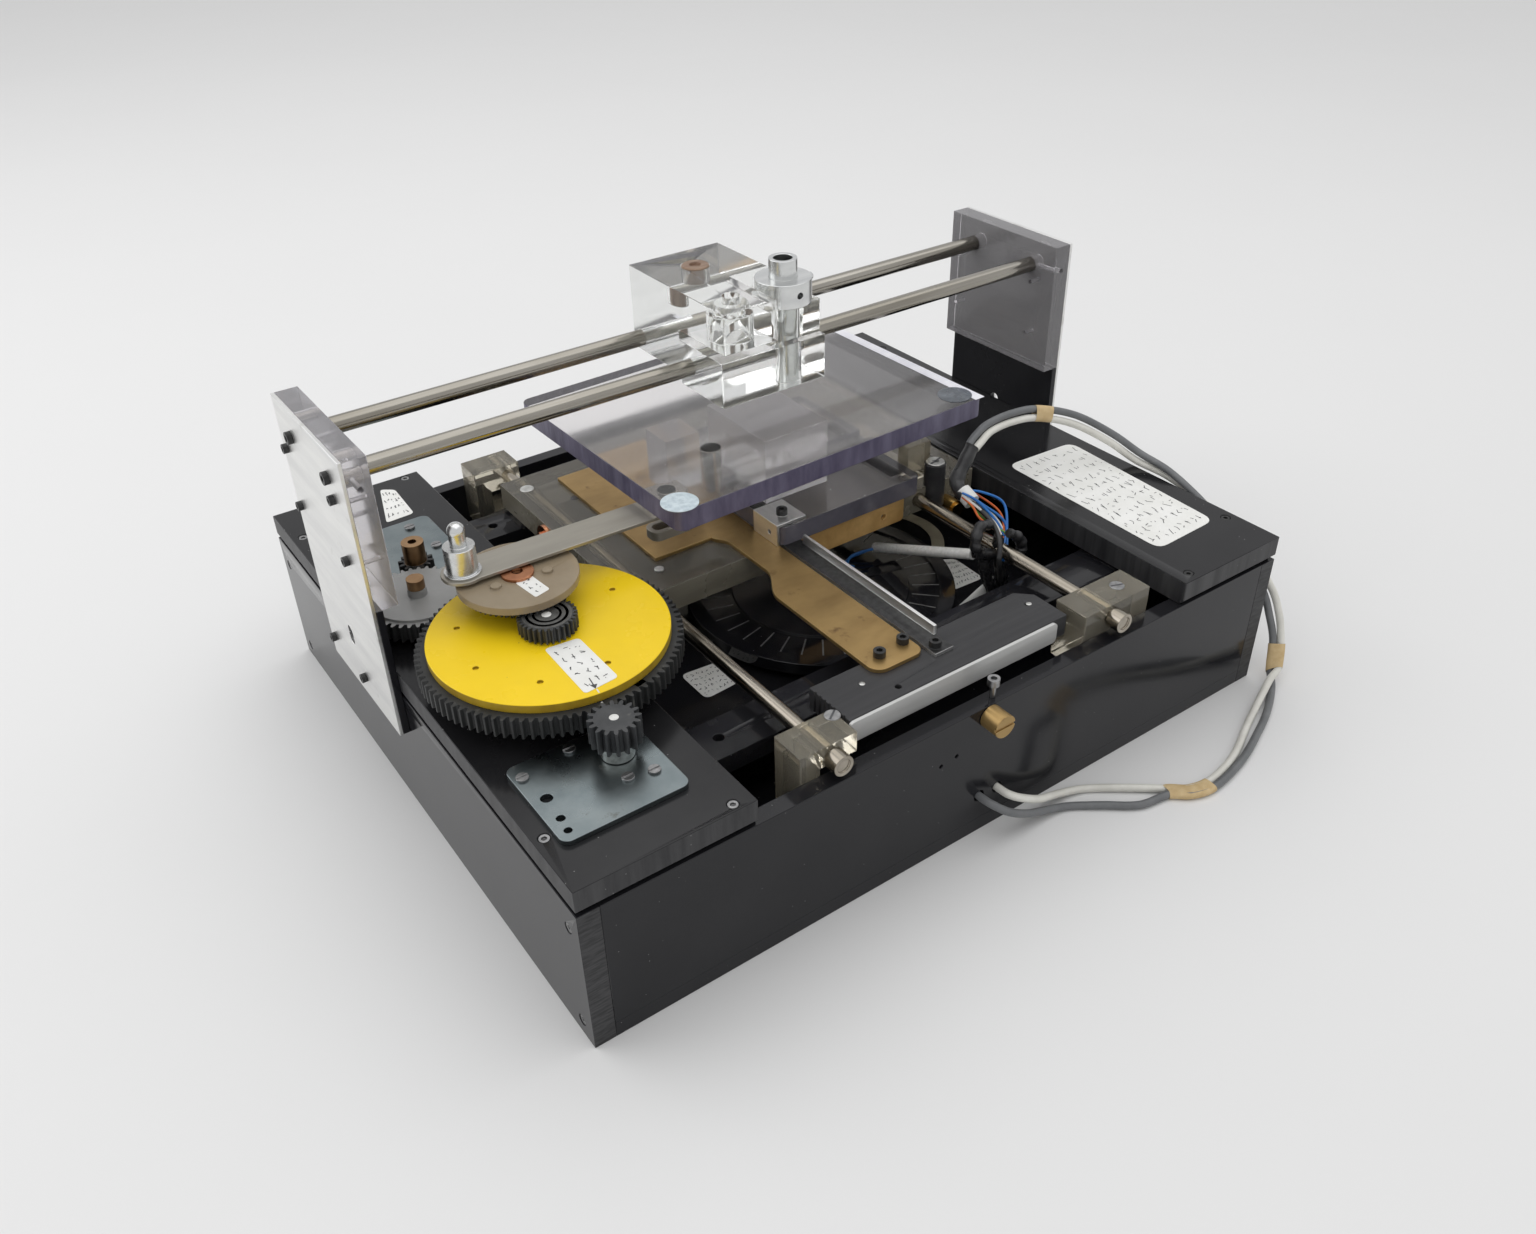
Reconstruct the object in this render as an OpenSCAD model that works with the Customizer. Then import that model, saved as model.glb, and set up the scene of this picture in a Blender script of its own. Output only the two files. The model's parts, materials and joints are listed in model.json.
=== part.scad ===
// Drawing machine: a black open-topped box that carries a gear train on its left,
// a table that is moved both ways inside it, and a pen on two rods above.
// Millimetres, +X to the right along the front, +Y to the back, +Z up.
// The origin is the centre of the box's underside.

/* [Box] */
// Width of the box, outside
box_w = 490; // [484:1:500]
// Depth of the box, outside
box_d = 406; // [402:1:416]
// Height of the side panels
side_h = 91; // [89:0.5:91.5]
// Thickness of the side panels
side_t = 12; // [9:0.5:13]
// Thickness of the front and back panels
front_t = 10; // [9:0.5:11]
// Thickness of the base
base_t = 10; // [6:0.5:12]
// Thickness of the two top plates
plate_t = 13; // [10:0.5:13]
// Shadow gap between the panels and the top plates
plate_gap = 3; // [2.5:0.1:3]
// How far the shadow gap is set in
gap_inset = 2.5; // [1:0.1:4]
// From the left rod to the edge of the left top plate
left_plate_gap = 52; // [50:1:54]
// From the right rod to the edge of the right top plate
right_plate_gap = 51; // [49:1:53]
// Width of the inner rails
rail_w = 30; // [20:1:34]
// Thickness of the inner rails
rail_t = 12; // [8:0.5:14]
// Middle of each inner rail, from the box's centre
rail_y = 135; // [130:1:138]
// Height of the shelf for the inner disc
shelf_z = 38; // [30:1:42]
// Thickness of the shelf
shelf_t = 6; // [4:0.5:8]
// Depth of the shelf
shelf_d = 220; // [200:1:232]
// Diameter of the small screw heads
screw_d = 5.5; // [5:0.1:6]
// Height of the small screw heads
screw_h = 3; // [2.5:0.1:3.5]

/* [Gantry] */
// Thickness of the gantry plates
gantry_t = 2; // [1.5:0.1:2.4]
// Thickness of the spacers under the clear blocks
spacer_t = 4; // [3:0.1:4.2]
// Depth of the gantry plates
gantry_d = 100; // [94:1:106]
// Middle of the gantry along the box
gantry_y = 44; // [42:1:46]
// How far the gantry plates reach down over the side panels
gantry_lap = 25; // [21:1:31]
// Top edge of the gantry plates, above the side panels
gantry_rise = 145; // [143:1:149]
// Bottom of the clear blocks, above the side panels
block_rise = 57; // [55:1:61]
// Thickness of the clear blocks
block_t = 12.7; // [10:0.1:13]
// Diameter of the gantry rods
gantry_rod_d = 10; // [9.5:0.1:10.2]
// Distance between the two gantry rods
gantry_rod_gap = 55; // [54:0.5:56]
// Height of the gantry rods above the side panels
gantry_rod_rise = 128; // [126:0.5:130]

/* [Gear train] */
// Middle of the large gear, from the left of the box
main_x = 68.5; // [66:0.5:72]
// Middle of the large gear along the box
main_y = -57; // [-59:1:-55]
// Module of the large gears
gear_module = 1.5; // [1.48:0.01:1.5]
// Teeth of the large gear
main_teeth = 92; // [88:4:92]
// Teeth of the front pinion
front_teeth = 16; // [14:1:18]
// Teeth of the rear gear
idler_teeth = 40; // [38:1:40]
// Teeth of the rear pinion
rear_teeth = 12; // [12:1:14]
// Thickness of the gears
gear_t = 11; // [8:0.5:12]
// Height of the gears above the top plates
gear_lift = 13; // [12:0.5:14]
// Radius of the yellow disc
disc_r = 64; // [58:0.5:65]
// Thickness of the yellow disc
disc_t = 5; // [4:0.5:5.5]
// Module of the sun and planet gears
sun_module = 1; // [0.96:0.01:1]
// Teeth of the fixed sun gear
sun_teeth = 30; // [28:1:31]
// Teeth of the planet gear
planet_teeth = 36; // [34:1:37]
// Thickness of the sun and planet gears
sun_t = 8.5; // [7:0.5:9]
// Radius of the toothed flange over the planet gear
flange_r = 31; // [28:0.5:31.5]
// Radius of the clear disc on the planet gear
planet_disc_r = 33; // [30:0.5:34]
// Thickness of the clear disc
planet_disc_t = 4.5; // [3.5:0.1:4.8]
// Radius at which the crank stub sits
crank_r = 28; // [26:0.5:28.5]
// Radius of the main axle
axle_r = 5; // [4:0.1:6]
// Radial running clearance of axles and rods
run_gap = 0.05; // [0.02:0.01:0.09]

/* [Carriage] */
// Diameter of the rods that the carriage runs on
rod_d = 9; // [8:0.1:9.2]
// Left rod, from the box's centre
rod_left_x = -94; // [-95:0.5:-93]
// Right rod, from the box's centre
rod_right_x = 108; // [107:0.5:109]
// Height of the rods above the side panels
rod_rise = 9; // [8.5:0.5:10]
// How far the rods stand out in front of their brackets
rod_out = 8; // [4:0.5:9]
// Top of the carriage's slab, above the rods' axes
slab_rise = 7.7; // [7:0.1:8]
// Thickness of the carriage's slab
slab_t = 17.2; // [14:0.1:17.5]
// Front face of the carriage's slab
slab_front = -25; // [-28:1:-22]
// Thickness of the long brass arm
arm_t = 2.5; // [2:0.1:3]
// Width of the brass arm at its front
arm_w = 34; // [31:0.5:36]
// Width of the brass arm behind its bend
arm_neck_w = 22; // [18:0.5:24]
// Thickness of the deck
deck_t = 12.7; // [11:0.1:13]
// Length of the deck along the box's width
deck_w = 111; // [100:1:112]
// Depth of the deck
deck_d = 130; // [120:1:134]
// Length of the black front block
front_block_w = 156; // [150:1:158]
// Depth of the black front block
front_block_d = 34; // [32:0.5:36]
// Height of the black front block
front_block_h = 13.7; // [12:0.1:14]

/* [Table] */
// Width of the table
table_w = 231; // [224:1:234]
// Depth of the table
table_d = 181; // [174:1:184]
// Thickness of the table
table_t = 13; // [11:0.1:14]
// Gap between the connecting strip and the table
table_gap = 1.6; // [1.1:0.1:4.6]
// Slight turn of the table on its slide
table_turn = 1.45; // [0:0.05:1.5]
// Width of the connecting strip
strip_w = 22; // [16:0.5:24]
// Thickness of the connecting strip
strip_t = 2; // [1.5:0.1:2.2]
// Diameter of the collar on the connecting strip
collar_d = 17; // [14:0.5:18]

/* [Pen] */
// Outer diameter of the pen tube
pen_d = 16.5; // [14:0.1:17]
// Bore of the pen tube
pen_bore = 11; // [8:0.1:12]
// Length of the pen tube
pen_l = 74; // [70:1:78]
// Diameter of the pen collar
pen_collar_d = 33; // [28:0.5:34]
// Height of the pen collar
pen_collar_h = 14; // [12:0.5:15]

/* [Hidden] */
$fn = 64;
half_w = box_w / 2;
half_d = box_d / 2;
inner_x = half_w - side_t;
inner_y = half_d - front_t;
plate_z = side_h + plate_gap;
top_z = plate_z + plate_t;
left_plate_x = rod_left_x - left_plate_gap;
right_plate_x = rod_right_x + right_plate_gap;
rail_top = side_h - 3;
rail_end = 14;
shelf_top = shelf_z + shelf_t;
thin = 0.3;

// Gear train, stacked upward from the top plate
main_at = [main_x - half_w, main_y];
gear_z = top_z + gear_lift;
disc_z = gear_z + gear_t;
sun_z = disc_z + disc_t + 1;
sun_top = sun_z + sun_t;
flange_z = sun_top + 0.6;
flange_t = 2.5;
planet_disc_z = flange_z + flange_t;
planet_top = planet_disc_z + planet_disc_t;
hub_t = 2;
strip_z = planet_top + hub_t + thin;
strip_top = strip_z + strip_t;
table_z = strip_top + table_gap;

// The rear gear and its pinion sit lower than the large gear
idler_z = gear_z - 8;
idler_t = 10;
idler_top = idler_z + idler_t;
idler_disc_r = pitch_r(idler_teeth, gear_module) - 3.5;
idler_disc_t = 1.5;
idler_hub_r = 5.4;
idler_hub_h = 5.7;
idler_cap_h = 6;
rear_sleeve_r = 6.5;
rear_sleeve_h = 13;

function polar(r, a) = [r * cos(a), r * sin(a)];
function pitch_r(teeth, m) = teeth * m / 2;
front_dir = -95.3;
idler_dir = 111.6;
rear_dir = 69.2;
planet_dir = 89;
crank_dir = 151.5;
front_at = main_at + polar(pitch_r(main_teeth + front_teeth, gear_module), front_dir);
idler_at = main_at + polar(pitch_r(main_teeth + idler_teeth, gear_module), idler_dir);
rear_at = idler_at + polar(pitch_r(idler_teeth + rear_teeth, gear_module), rear_dir);
planet_at = main_at + polar(pitch_r(sun_teeth + planet_teeth, sun_module), planet_dir);
crank_at = planet_at + polar(crank_r, crank_dir);

// The direction in which a gear shows a tooth, so that it meshes with another
// whose tooth points along phase and which lies opposite to direction
function mesh_phase(phase, teeth, direction, own_teeth) =
    direction + 180 + (0.5 - (phase - direction) * teeth / 360) * 360 / own_teeth;
front_phase = mesh_phase(0, main_teeth, front_dir, front_teeth);
idler_phase = mesh_phase(0, main_teeth, idler_dir, idler_teeth);
rear_phase = mesh_phase(idler_phase, idler_teeth, rear_dir, rear_teeth);
planet_phase = mesh_phase(0, sun_teeth, planet_dir, planet_teeth);
spindle_r = 4;
shaft_r = 2.5;
flange_lift = thin - 0.1;
motor_r = 15;
motor_h = 33;

// Inner disc
x_disc_at = [34, -16];
x_disc_r = 88;
x_disc_t = 8;
x_disc_z = shelf_top + 6;
x_hub_r = 20;

// Gantry
span = half_w + spacer_t + gantry_t;
gantry_bottom = side_h - gantry_lap;
gantry_top = side_h + gantry_rise;
block_bottom = side_h + block_rise;
gantry_rod_z = side_h + gantry_rod_rise;
gantry_slot = [side_h + 11, side_h + 15];
gantry_slot_y = gantry_y + 4;
gantry_front = gantry_y - gantry_d / 2;
gantry_back = gantry_y + gantry_d / 2;
plate_in = span - gantry_t;
spacer_in = plate_in - spacer_t;
block_in = plate_in - block_t;
front_rod_y = gantry_y - gantry_rod_gap / 2;
rear_rod_y = gantry_y + gantry_rod_gap / 2;

// Carriage
rod_z = side_h + rod_rise;
carriage_z = rod_z + slab_rise;
bracket_top = rod_z + 8;
bracket_low = rod_z - 5;
bracket_d = 22;
slab_bottom = carriage_z - slab_t;
slab_left = rod_left_x - 15;
slab_right = right_plate_x - 3;
slab_rear = inner_y - bracket_d - 21;
deck_motor_at = [rod_right_x + 13.5, slab_front];
deck_motor_r = 7;
rim_screw_at = [11, 5 - half_d];
rim_gap = 14;
front_block_top = carriage_z;
front_block_front = rim_screw_at[1] + rim_gap;
front_block_x = -76;
deck_x = -8;
deck_y = -32;
deck_z = carriage_z + arm_t;
deck_top = deck_z + deck_t;
arm_right = deck_x;
arm_front = front_block_front + 20;
groove_y = 19;
groove_w = 12;
groove_deep = 4;

// Table and strip
table_at = [-90, -50.5];
pivot_at = [-76, -15];
strip_dir = atan2(crank_at[1] - pivot_at[1], crank_at[0] - pivot_at[0]);
strip_l = norm(crank_at - pivot_at);
pin_r = 3;

// Pen carriage
pen_at = [18, -1];
pen_bottom = gantry_rod_z - 16;
pen_low = gantry_rod_z - 14;
pen_main_bottom = gantry_rod_z - 8;
pen_shelf = gantry_rod_z + 13;
pen_step = gantry_rod_z + 19;
tube_top = gantry_rod_z + 33;
pen_top = gantry_rod_z + 43;
pen_left = pen_at[0] - 54;
pen_right = pen_at[0] + 18;
pen_main_right = pen_at[0] + 9;
pen_front = front_rod_y - 33.5;
pen_main_front = front_rod_y + 10.5;
pen_back = rear_rod_y + 8.5;
plug_at = [-6, 54];
plug_r = 8.5;
plug_deep = 20;
pocket_at = [-16, 2];
pocket_r = 10;

// Screws: along X at (y, z), or upright at (x, y)
side_screws = [for (y = [-half_d + 11, half_d - 11]) for (z = [10, side_h - 16]) [y, z]];
left_top_screws = [
    [6 - half_w, 38 - half_d], [left_plate_x - 11, 5 - half_d],
    [7 - half_w, half_d - 38], [left_plate_x - 10, half_d - 4]];
right_top_screws = [
    [half_w - 7, 35 - half_d], [right_plate_x + 10, 7 - half_d],
    [half_w - 8, half_d - 35], [right_plate_x + 10, half_d - 6]];
gantry_points = [
    [gantry_back - 8, side_h + 80], [gantry_front + 21, side_h + 116], [gantry_back - 8.5, side_h + 116],
    [gantry_front + 22, side_h + 79], [gantry_back - 8.5, side_h - 9.5], [gantry_front + 44, side_h - 11]];
front_plate_screws = [[-46, 11.6], [8, -21.4], [-18, 16.6], [-5, -18.4]];
rear_plate_screws = [[18, 57.5], [23, 27.5]];

// Cable routes, round points chosen by hand
cable_r = 2.4;
bundle_r = 5;
white_hole = [17, 26];
grey_hole = [3, 27];
hole_r = 3.6;
cable_in = 3 - inner_y;
cable_out = -half_d - 3;
white_route = [
    [white_hole[0], cable_in, white_hole[1]], [white_hole[0], cable_out, white_hole[1]],
    [19.5, -212.5, 25], [27, -215.5, 21], [40, -215, 13], [56, -213.5, 6.5], [75, -216.5, 2.6],
    [94, -229.5, 2.6], [115, -246, 2.6], [125, -253.5, 2.6], [140.5, -256.5, 2.6], [169, -251, 2.6],
    [199.5, -237.5, 2.6], [220.5, -229, 4.5], [242, -221, 8.8], [255, -217.5, 11.5], [264, -209.5, 24],
    [265.5, -203, 41], [263, -194, 59], [260, -171.5, 79.5], [257, -142, 95.5], [253, -111, 105.5],
    [246, -87.5, 110.5], [232, -73.5, 123.5], [210.5, -59.5, 137.5], [185, -51.5, 146.5],
    [166, -48.5, 148.5], [146.5, -49, 148], [133, -53.5, 146], [126.5, -55.5, 144]];
grey_route = [
    [grey_hole[0], cable_in, grey_hole[1]], [grey_hole[0], cable_out, grey_hole[1]], [5.5, -213, 25.5],
    [13, -217.5, 20], [26, -219, 12.5], [42, -219, 6], [57, -221.5, 2.6], [74, -233, 2.6], [92, -246, 2.6],
    [112, -250, 2.6], [123, -258.5, 2.6], [140.5, -261.5, 2.6], [171, -256, 2.6], [202.5, -244.5, 2.6],
    [223.5, -235, 2.6], [244, -222.5, 2.6], [253, -212.5, 10.5], [260, -206.5, 24], [260.5, -200, 39],
    [258, -192, 57], [254, -172.5, 80.5], [252, -144, 98.5], [251, -113, 110.5], [248, -88.5, 115.5],
    [236, -72.5, 127.5], [213.5, -58.5, 142.5], [187, -49.5, 151.5], [166, -46.5, 153.5],
    [145.5, -46, 152], [131, -49.5, 149], [124.5, -51.5, 146]];
bundle_route = [
    [125.3, -53.6, 145], [116, -57, 137.5], [107, -61, 129.5], [104.5, -72, 124.5], [107, -86, 119],
    [106, -98, 114], [101.5, -107.5, 109], [97.5, -112, 100], [101, -110, 90], [108, -105, 78],
    [113, -102.5, 65], [116, -100.5, 54], [117, -100, shelf_top + 0.2]];

// Shared shapes

// A box between two opposite corners
module block(a, b) {
    translate(a)
        cube(b - a);
}

// A flat plate with rounded corners, its near left corner at the origin
module rounded_plate(w, d, t, r) {
    linear_extrude(height = t) {
        translate([r, 0])
            square([w - 2 * r, d]);
        translate([0, r])
            square([w, d - 2 * r]);
        for (x = [r, w - r])
            for (y = [r, d - r])
                translate([x, y])
                    circle(r = r);
    }
}

module at_xy(p, z = 0) {
    translate([p[0], p[1], z])
        children();
}

// Turns an upright shape so that it points along X or along Y
module along_x() {
    rotate([0, 90, 0])
        children();
}

module along_y() {
    rotate([-90, 0, 0])
        children();
}

// A socket head screw, its seat at the origin and its shank below
module socket_screw(d, h, shank) {
    difference() {
        union() {
            cylinder(d = d, h = h);
            translate([0, 0, -shank])
                cylinder(d = d * 0.5, h = shank + 0.01);
        }
        translate([0, 0, h * 0.45])
            cylinder(d = d * 0.55, h = h, $fn = 6);
    }
}

// A slotted pan head screw, its seat at the origin
module slotted_screw(d, h) {
    difference() {
        cylinder(d = d, h = h);
        translate([-d, -d * 0.08, h * 0.55])
            cube([2 * d, d * 0.16, h]);
    }
}

function involute(a) = tan(a) * 180 / PI - a;
function tooth_half(teeth, share, base, r) =
    share * 180 / teeth + involute(20) - (r > base ? involute(acos(base / r)) : 0);

// The outline of a spur gear: each tooth's two flanks follow the involute
function gear_outline(teeth, m, share, phase) =
    let (p = pitch_r(teeth, m), base = p * cos(20), root = p - 1.25 * m, tip = p + 0.9 * m)
    let (radii = [root, max(base, root + 0.1), p, p + 0.5 * m, tip])
    [for (k = [0:teeth - 1])
        for (side = [-1, 1])
            for (i = [0:4])
                let (r = radii[side < 0 ? i : 4 - i])
                polar(r, phase + k * 360 / teeth + side * tooth_half(teeth, share, base, r))];

module spur_gear(teeth, m, t, phase, bore, share = 0.455) {
    linear_extrude(height = t)
        difference() {
            polygon(gear_outline(teeth, m, share, phase));
            circle(r = bore);
        }
}

// Smooth route through chosen points, and a tube swept along it
function unit(v) = v / norm(v);
function curve(a, b, c, d, t) = 0.5 * (2 * b + (c - a) * t + (2 * a - 5 * b + 4 * c - d) * t * t
    + (3 * b - a - 3 * c + d) * t * t * t);
function smooth(p, steps) = concat(
    [for (i = [0:len(p) - 2])
        for (s = [0:steps - 1])
            curve(p[max(i - 1, 0)], p[i], p[i + 1], p[min(i + 2, len(p) - 1)], s / steps)],
    [p[len(p) - 1]]);
function tangents(p) = [for (i = [0:len(p) - 1])
    unit(p[min(i + 1, len(p) - 1)] - p[max(i - 1, 0)])];
function carry(n, t) = unit(n - (n * t) * t);
function normals(t, first) = [for (i = 0, n = carry(first, t[0]);
    i < len(t);
    n = i + 1 < len(t) ? carry(n, t[i + 1]) : n, i = i + 1) n];

module tube(points, steps, r, sides, first) {
    path = smooth(points, steps);
    t = tangents(path);
    n = normals(t, first);
    rings = len(path);
    ring_points = [for (i = [0:rings - 1])
        for (k = [0:sides - 1])
            path[i] + r * (n[i] * cos(360 * k / sides) + cross(t[i], n[i]) * sin(360 * k / sides))];
    walls = [for (i = [0:rings - 2])
        for (k = [0:sides - 1])
            let (a = i * sides + k, b = i * sides + (k + 1) % sides)
            each [[a, a + sides, b], [b, a + sides, b + sides]]];
    near_end = [for (k = [1:sides - 2]) [0, k, k + 1]];
    last = (rings - 1) * sides;
    far_end = [for (k = [1:sides - 2]) [last, last + k + 1, last + k]];
    polyhedron(points = ring_points, faces = concat(walls, near_end, far_end));
}

// Box

module base_plate() {
    color("#1b1b1d")
        block([-inner_x, -half_d, 0], [inner_x, half_d, base_t]);
}

module side_panel(x) {
    difference() {
        block([x - side_t / 2, -half_d, 0], [x + side_t / 2, half_d, side_h]);
        for (p = side_screws)
            translate([x, p[0], p[1]])
                along_x()
                    translate([0, 0, x > 0 ? side_t / 2 - screw_h : -side_t / 2 - 1])
                        cylinder(d = screw_d + 0.6, h = screw_h + 1);
    }
}

module left_side_panel() {
    color("#1d1d1f")
        side_panel(side_t / 2 - half_w);
}

module right_side_panel() {
    color("#1d1d1f")
        side_panel(half_w - side_t / 2);
}

knob_at = [5, side_h - 7];
knob_r = 7;
knob_shank_r = 2.5;
sight_holes = [[-28, side_h - 26], [-17, side_h - 24.5]];

module front_panel() {
    color("#1b1b1d")
        difference() {
            block([-inner_x, -half_d, base_t], [inner_x, -inner_y, side_h]);
            for (p = [white_hole, grey_hole])
                translate([p[0], -half_d - 1, p[1]])
                    along_y()
                        cylinder(r = hole_r, h = front_t + 2);
            translate([knob_at[0], -half_d - 1, knob_at[1]])
                along_y()
                    cylinder(r = knob_shank_r + run_gap, h = front_t + 2);
            for (p = sight_holes)
                translate([p[0], -half_d - 1, p[1]])
                    along_y()
                        cylinder(r = 1.2, h = 4);
        }
}

module back_panel() {
    color("#1b1b1d")
        block([-inner_x, inner_y, base_t], [inner_x, half_d, side_h]);
}

// A top plate between two X values, with a pad that leaves the shadow gap
module top_plate(x0, x1, screws) {
    outer_left = x0 < 0 ? gap_inset : 0;
    outer_right = x0 < 0 ? 0 : gap_inset;
    difference() {
        union() {
            block([x0, -half_d, plate_z], [x1, half_d, top_z]);
            block(
                [x0 + outer_left, gap_inset - half_d, side_h],
                [x1 - outer_right, half_d - gap_inset, plate_z + 0.01]);
        }
        for (p = screws)
            at_xy(p, top_z - screw_h)
                cylinder(d = screw_d + 0.6, h = screw_h + 1);
    }
}

module left_top_plate() {
    color("#202022")
        difference() {
            top_plate(-half_w, left_plate_x, left_top_screws);
            for (p = [front_at, rear_at])
                at_xy(p, side_h - 1)
                    cylinder(r = shaft_r + 1.5, h = plate_gap + plate_t + 2);
        }
}

module right_top_plate() {
    color("#202022")
        top_plate(right_plate_x, half_w, right_top_screws);
}

// A rail that hangs by a pad at each end under the top plates
module inner_rail(y) {
    x0 = left_plate_x - rail_end;
    x1 = right_plate_x + rail_end;
    difference() {
        union() {
            block([x0, y - rail_w / 2, rail_top - rail_t], [x1, y + rail_w / 2, rail_top]);
            block([x0, y - rail_w / 2, rail_top - 0.01], [left_plate_x - 2, y + rail_w / 2, side_h]);
            block([right_plate_x + 2, y - rail_w / 2, rail_top - 0.01], [x1, y + rail_w / 2, side_h]);
        }
        translate([left_plate_x + 22, y, rail_top - 5])
            cylinder(d = 6, h = 6);
    }
}

module inner_rails() {
    color("#222224")
        for (y = [-rail_y, rail_y])
            inner_rail(y);
}

module drive_shelf() {
    color("#18181a")
        block([-inner_x, -shelf_d / 2, shelf_z], [inner_x, shelf_d / 2, shelf_top]);
}

rim_head_d = 7;

module box_screws() {
    color("#8d8d8a") {
        for (x = [-1, 1])
            for (p = side_screws)
                translate([x * (half_w - screw_h), p[0], p[1]])
                    rotate([0, x * 90, 0])
                        socket_screw(screw_d, screw_h - 0.4, 0);
        for (p = concat(left_top_screws, right_top_screws))
            at_xy(p, top_z - screw_h)
                socket_screw(screw_d, screw_h - 0.4, 0);
        at_xy(rim_screw_at, side_h) {
            cylinder(d = 3.6, h = 8.01);
            translate([0, 0, 8])
                socket_screw(rim_head_d, 4.5, 0);
        }
        for (p = front_plate_screws)
            at_xy(front_at + p, top_z + motor_plate_t)
                slotted_screw(6.5, 1.4);
        for (p = rear_plate_screws)
            at_xy(rear_at + p, top_z + motor_plate_t)
                slotted_screw(6.5, 1.4);
    }
}

// A brass knob on the front panel, with a slot across its face
module front_knob() {
    color("#a08457")
        translate([knob_at[0], -half_d, knob_at[1]])
            difference() {
                union() {
                    translate([0, -0.3, 0])
                        rotate([90, 0, 0])
                            cylinder(r = knob_r, h = 12);
                    translate([0, -0.4, 0])
                        along_y()
                            cylinder(r = knob_shank_r, h = front_t + 2);
                }
                translate([-knob_r - 1, -13.3, -0.8])
                    cube([2 * knob_r + 2, 2, 1.6]);
            }
}

// Gantry

module gantry_plate(x0) {
    difference() {
        block([x0, gantry_front, gantry_bottom], [x0 + gantry_t, gantry_back, gantry_top]);
        for (p = gantry_points)
            translate([x0 - 1, p[0], p[1]])
                along_x()
                    cylinder(d = screw_d * 0.5 + 0.2, h = gantry_t + 2);
        translate([x0 - 1, gantry_slot_y, 0])
            for (z = gantry_slot)
                translate([0, 0, z])
                    along_x()
                        cylinder(r = 4, h = gantry_t + 2);
    }
}

module gantry_plates() {
    color("#b9bbb4")
        for (x = [-span, span - gantry_t])
            gantry_plate(x);
}

// The clear block that holds both rods, between two X values
module rod_block(x0) {
    difference() {
        block([x0, gantry_front, block_bottom], [x0 + block_t, gantry_back, gantry_top]);
        for (y = [front_rod_y, rear_rod_y])
            translate([x0 - 1, y, gantry_rod_z])
                along_x()
                    cylinder(d = gantry_rod_d, h = block_t + 2);
        translate([x0 + block_t / 2, gantry_front - 1, gantry_rod_z])
            along_y()
                cylinder(d = 3.2, h = front_rod_y - gantry_rod_d / 2 - gantry_front + 1.5);
        for (p = gantry_points)
            if (p[1] > block_bottom)
                translate([x0 - 1, p[0], p[1]])
                    along_x()
                        cylinder(d = screw_d * 0.5 + 0.1, h = block_t + 2);
    }
}

module left_rod_block() {
    color("#a9a4b8", 0.5)
        rod_block(-plate_in);
}

module right_rod_block() {
    color("#a9a4b8", 0.5)
        rod_block(block_in);
}

module gantry_spacers() {
    color("#232325")
        difference() {
            for (x = [-plate_in, spacer_in])
                block([x, gantry_front, gantry_bottom], [x + spacer_t, gantry_back, block_bottom]);
            for (x = [-plate_in, spacer_in])
                for (p = gantry_points)
                    if (p[1] < block_bottom)
                        translate([x - 1, p[0], p[1]])
                            along_x()
                                cylinder(d = screw_d * 0.5 + 0.1, h = spacer_t + 2);
            translate([-span, gantry_slot_y, 0])
                for (z = gantry_slot)
                    translate([0, 0, z])
                        along_x()
                            cylinder(r = 4, h = 2 * span);
        }
}

module gantry_rods() {
    color("#c7c2b8")
        for (y = [front_rod_y, rear_rod_y])
            translate([-plate_in, y, gantry_rod_z])
                along_x()
                    cylinder(d = gantry_rod_d, h = 2 * plate_in);
}

module gantry_screws() {
    color("#4a4a4a")
        for (side = [-1, 1])
            for (p = gantry_points)
                translate([side * span, p[0], p[1]])
                    rotate([0, side * 90, 0])
                        socket_screw(screw_d, screw_h, gantry_t + 3);
    color("#b0aea8")
        for (side = [-1, 1])
            for (y = [front_rod_y, rear_rod_y])
                translate([side * span, y, gantry_rod_z])
                    rotate([0, side * 90, 0])
                        socket_screw(screw_d * 1.3, screw_h, 0);
}

// Drive plates, motors and axles

motor_plate_t = 3;
front_plate_from = [-51, -39.4];
front_plate_size = [69, 62];
rear_plate_from = [-12.8, -19.5];
rear_plate_size = [46, 87];
front_plate_holes = [[-43, -7.4, 3], [-44, -23.4, 2.2], [-45, -32.4, 2]];

module front_motor_plate() {
    color("#9fb0ae")
        difference() {
            at_xy(front_at + front_plate_from, top_z)
                rounded_plate(front_plate_size[0], front_plate_size[1], motor_plate_t, 5);
            at_xy(front_at, top_z - 1)
                cylinder(r = shaft_r + 1.5, h = motor_plate_t + 2);
            for (p = front_plate_holes)
                translate([front_at[0] + p[0], front_at[1] + p[1], top_z - 1])
                    cylinder(r = p[2], h = motor_plate_t + 2);
        }
}

module rear_motor_plate() {
    color("#9fb0ae")
        difference() {
            at_xy(rear_at + rear_plate_from, top_z)
                rounded_plate(rear_plate_size[0], rear_plate_size[1], motor_plate_t, 5);
            at_xy(rear_at, top_z - 1)
                cylinder(r = shaft_r + 1.5, h = motor_plate_t + 2);
        }
}

// Two motors that hang under the left top plate, their shafts reaching up
module y_motors() {
    color("#6f7072")
        for (p = [front_at, rear_at])
            at_xy(p) {
                translate([0, 0, side_h - motor_h])
                    cylinder(r = motor_r, h = motor_h);
                translate([0, 0, side_h - 1])
                    cylinder(r = shaft_r, h = disc_z - side_h);
            }
}

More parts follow.
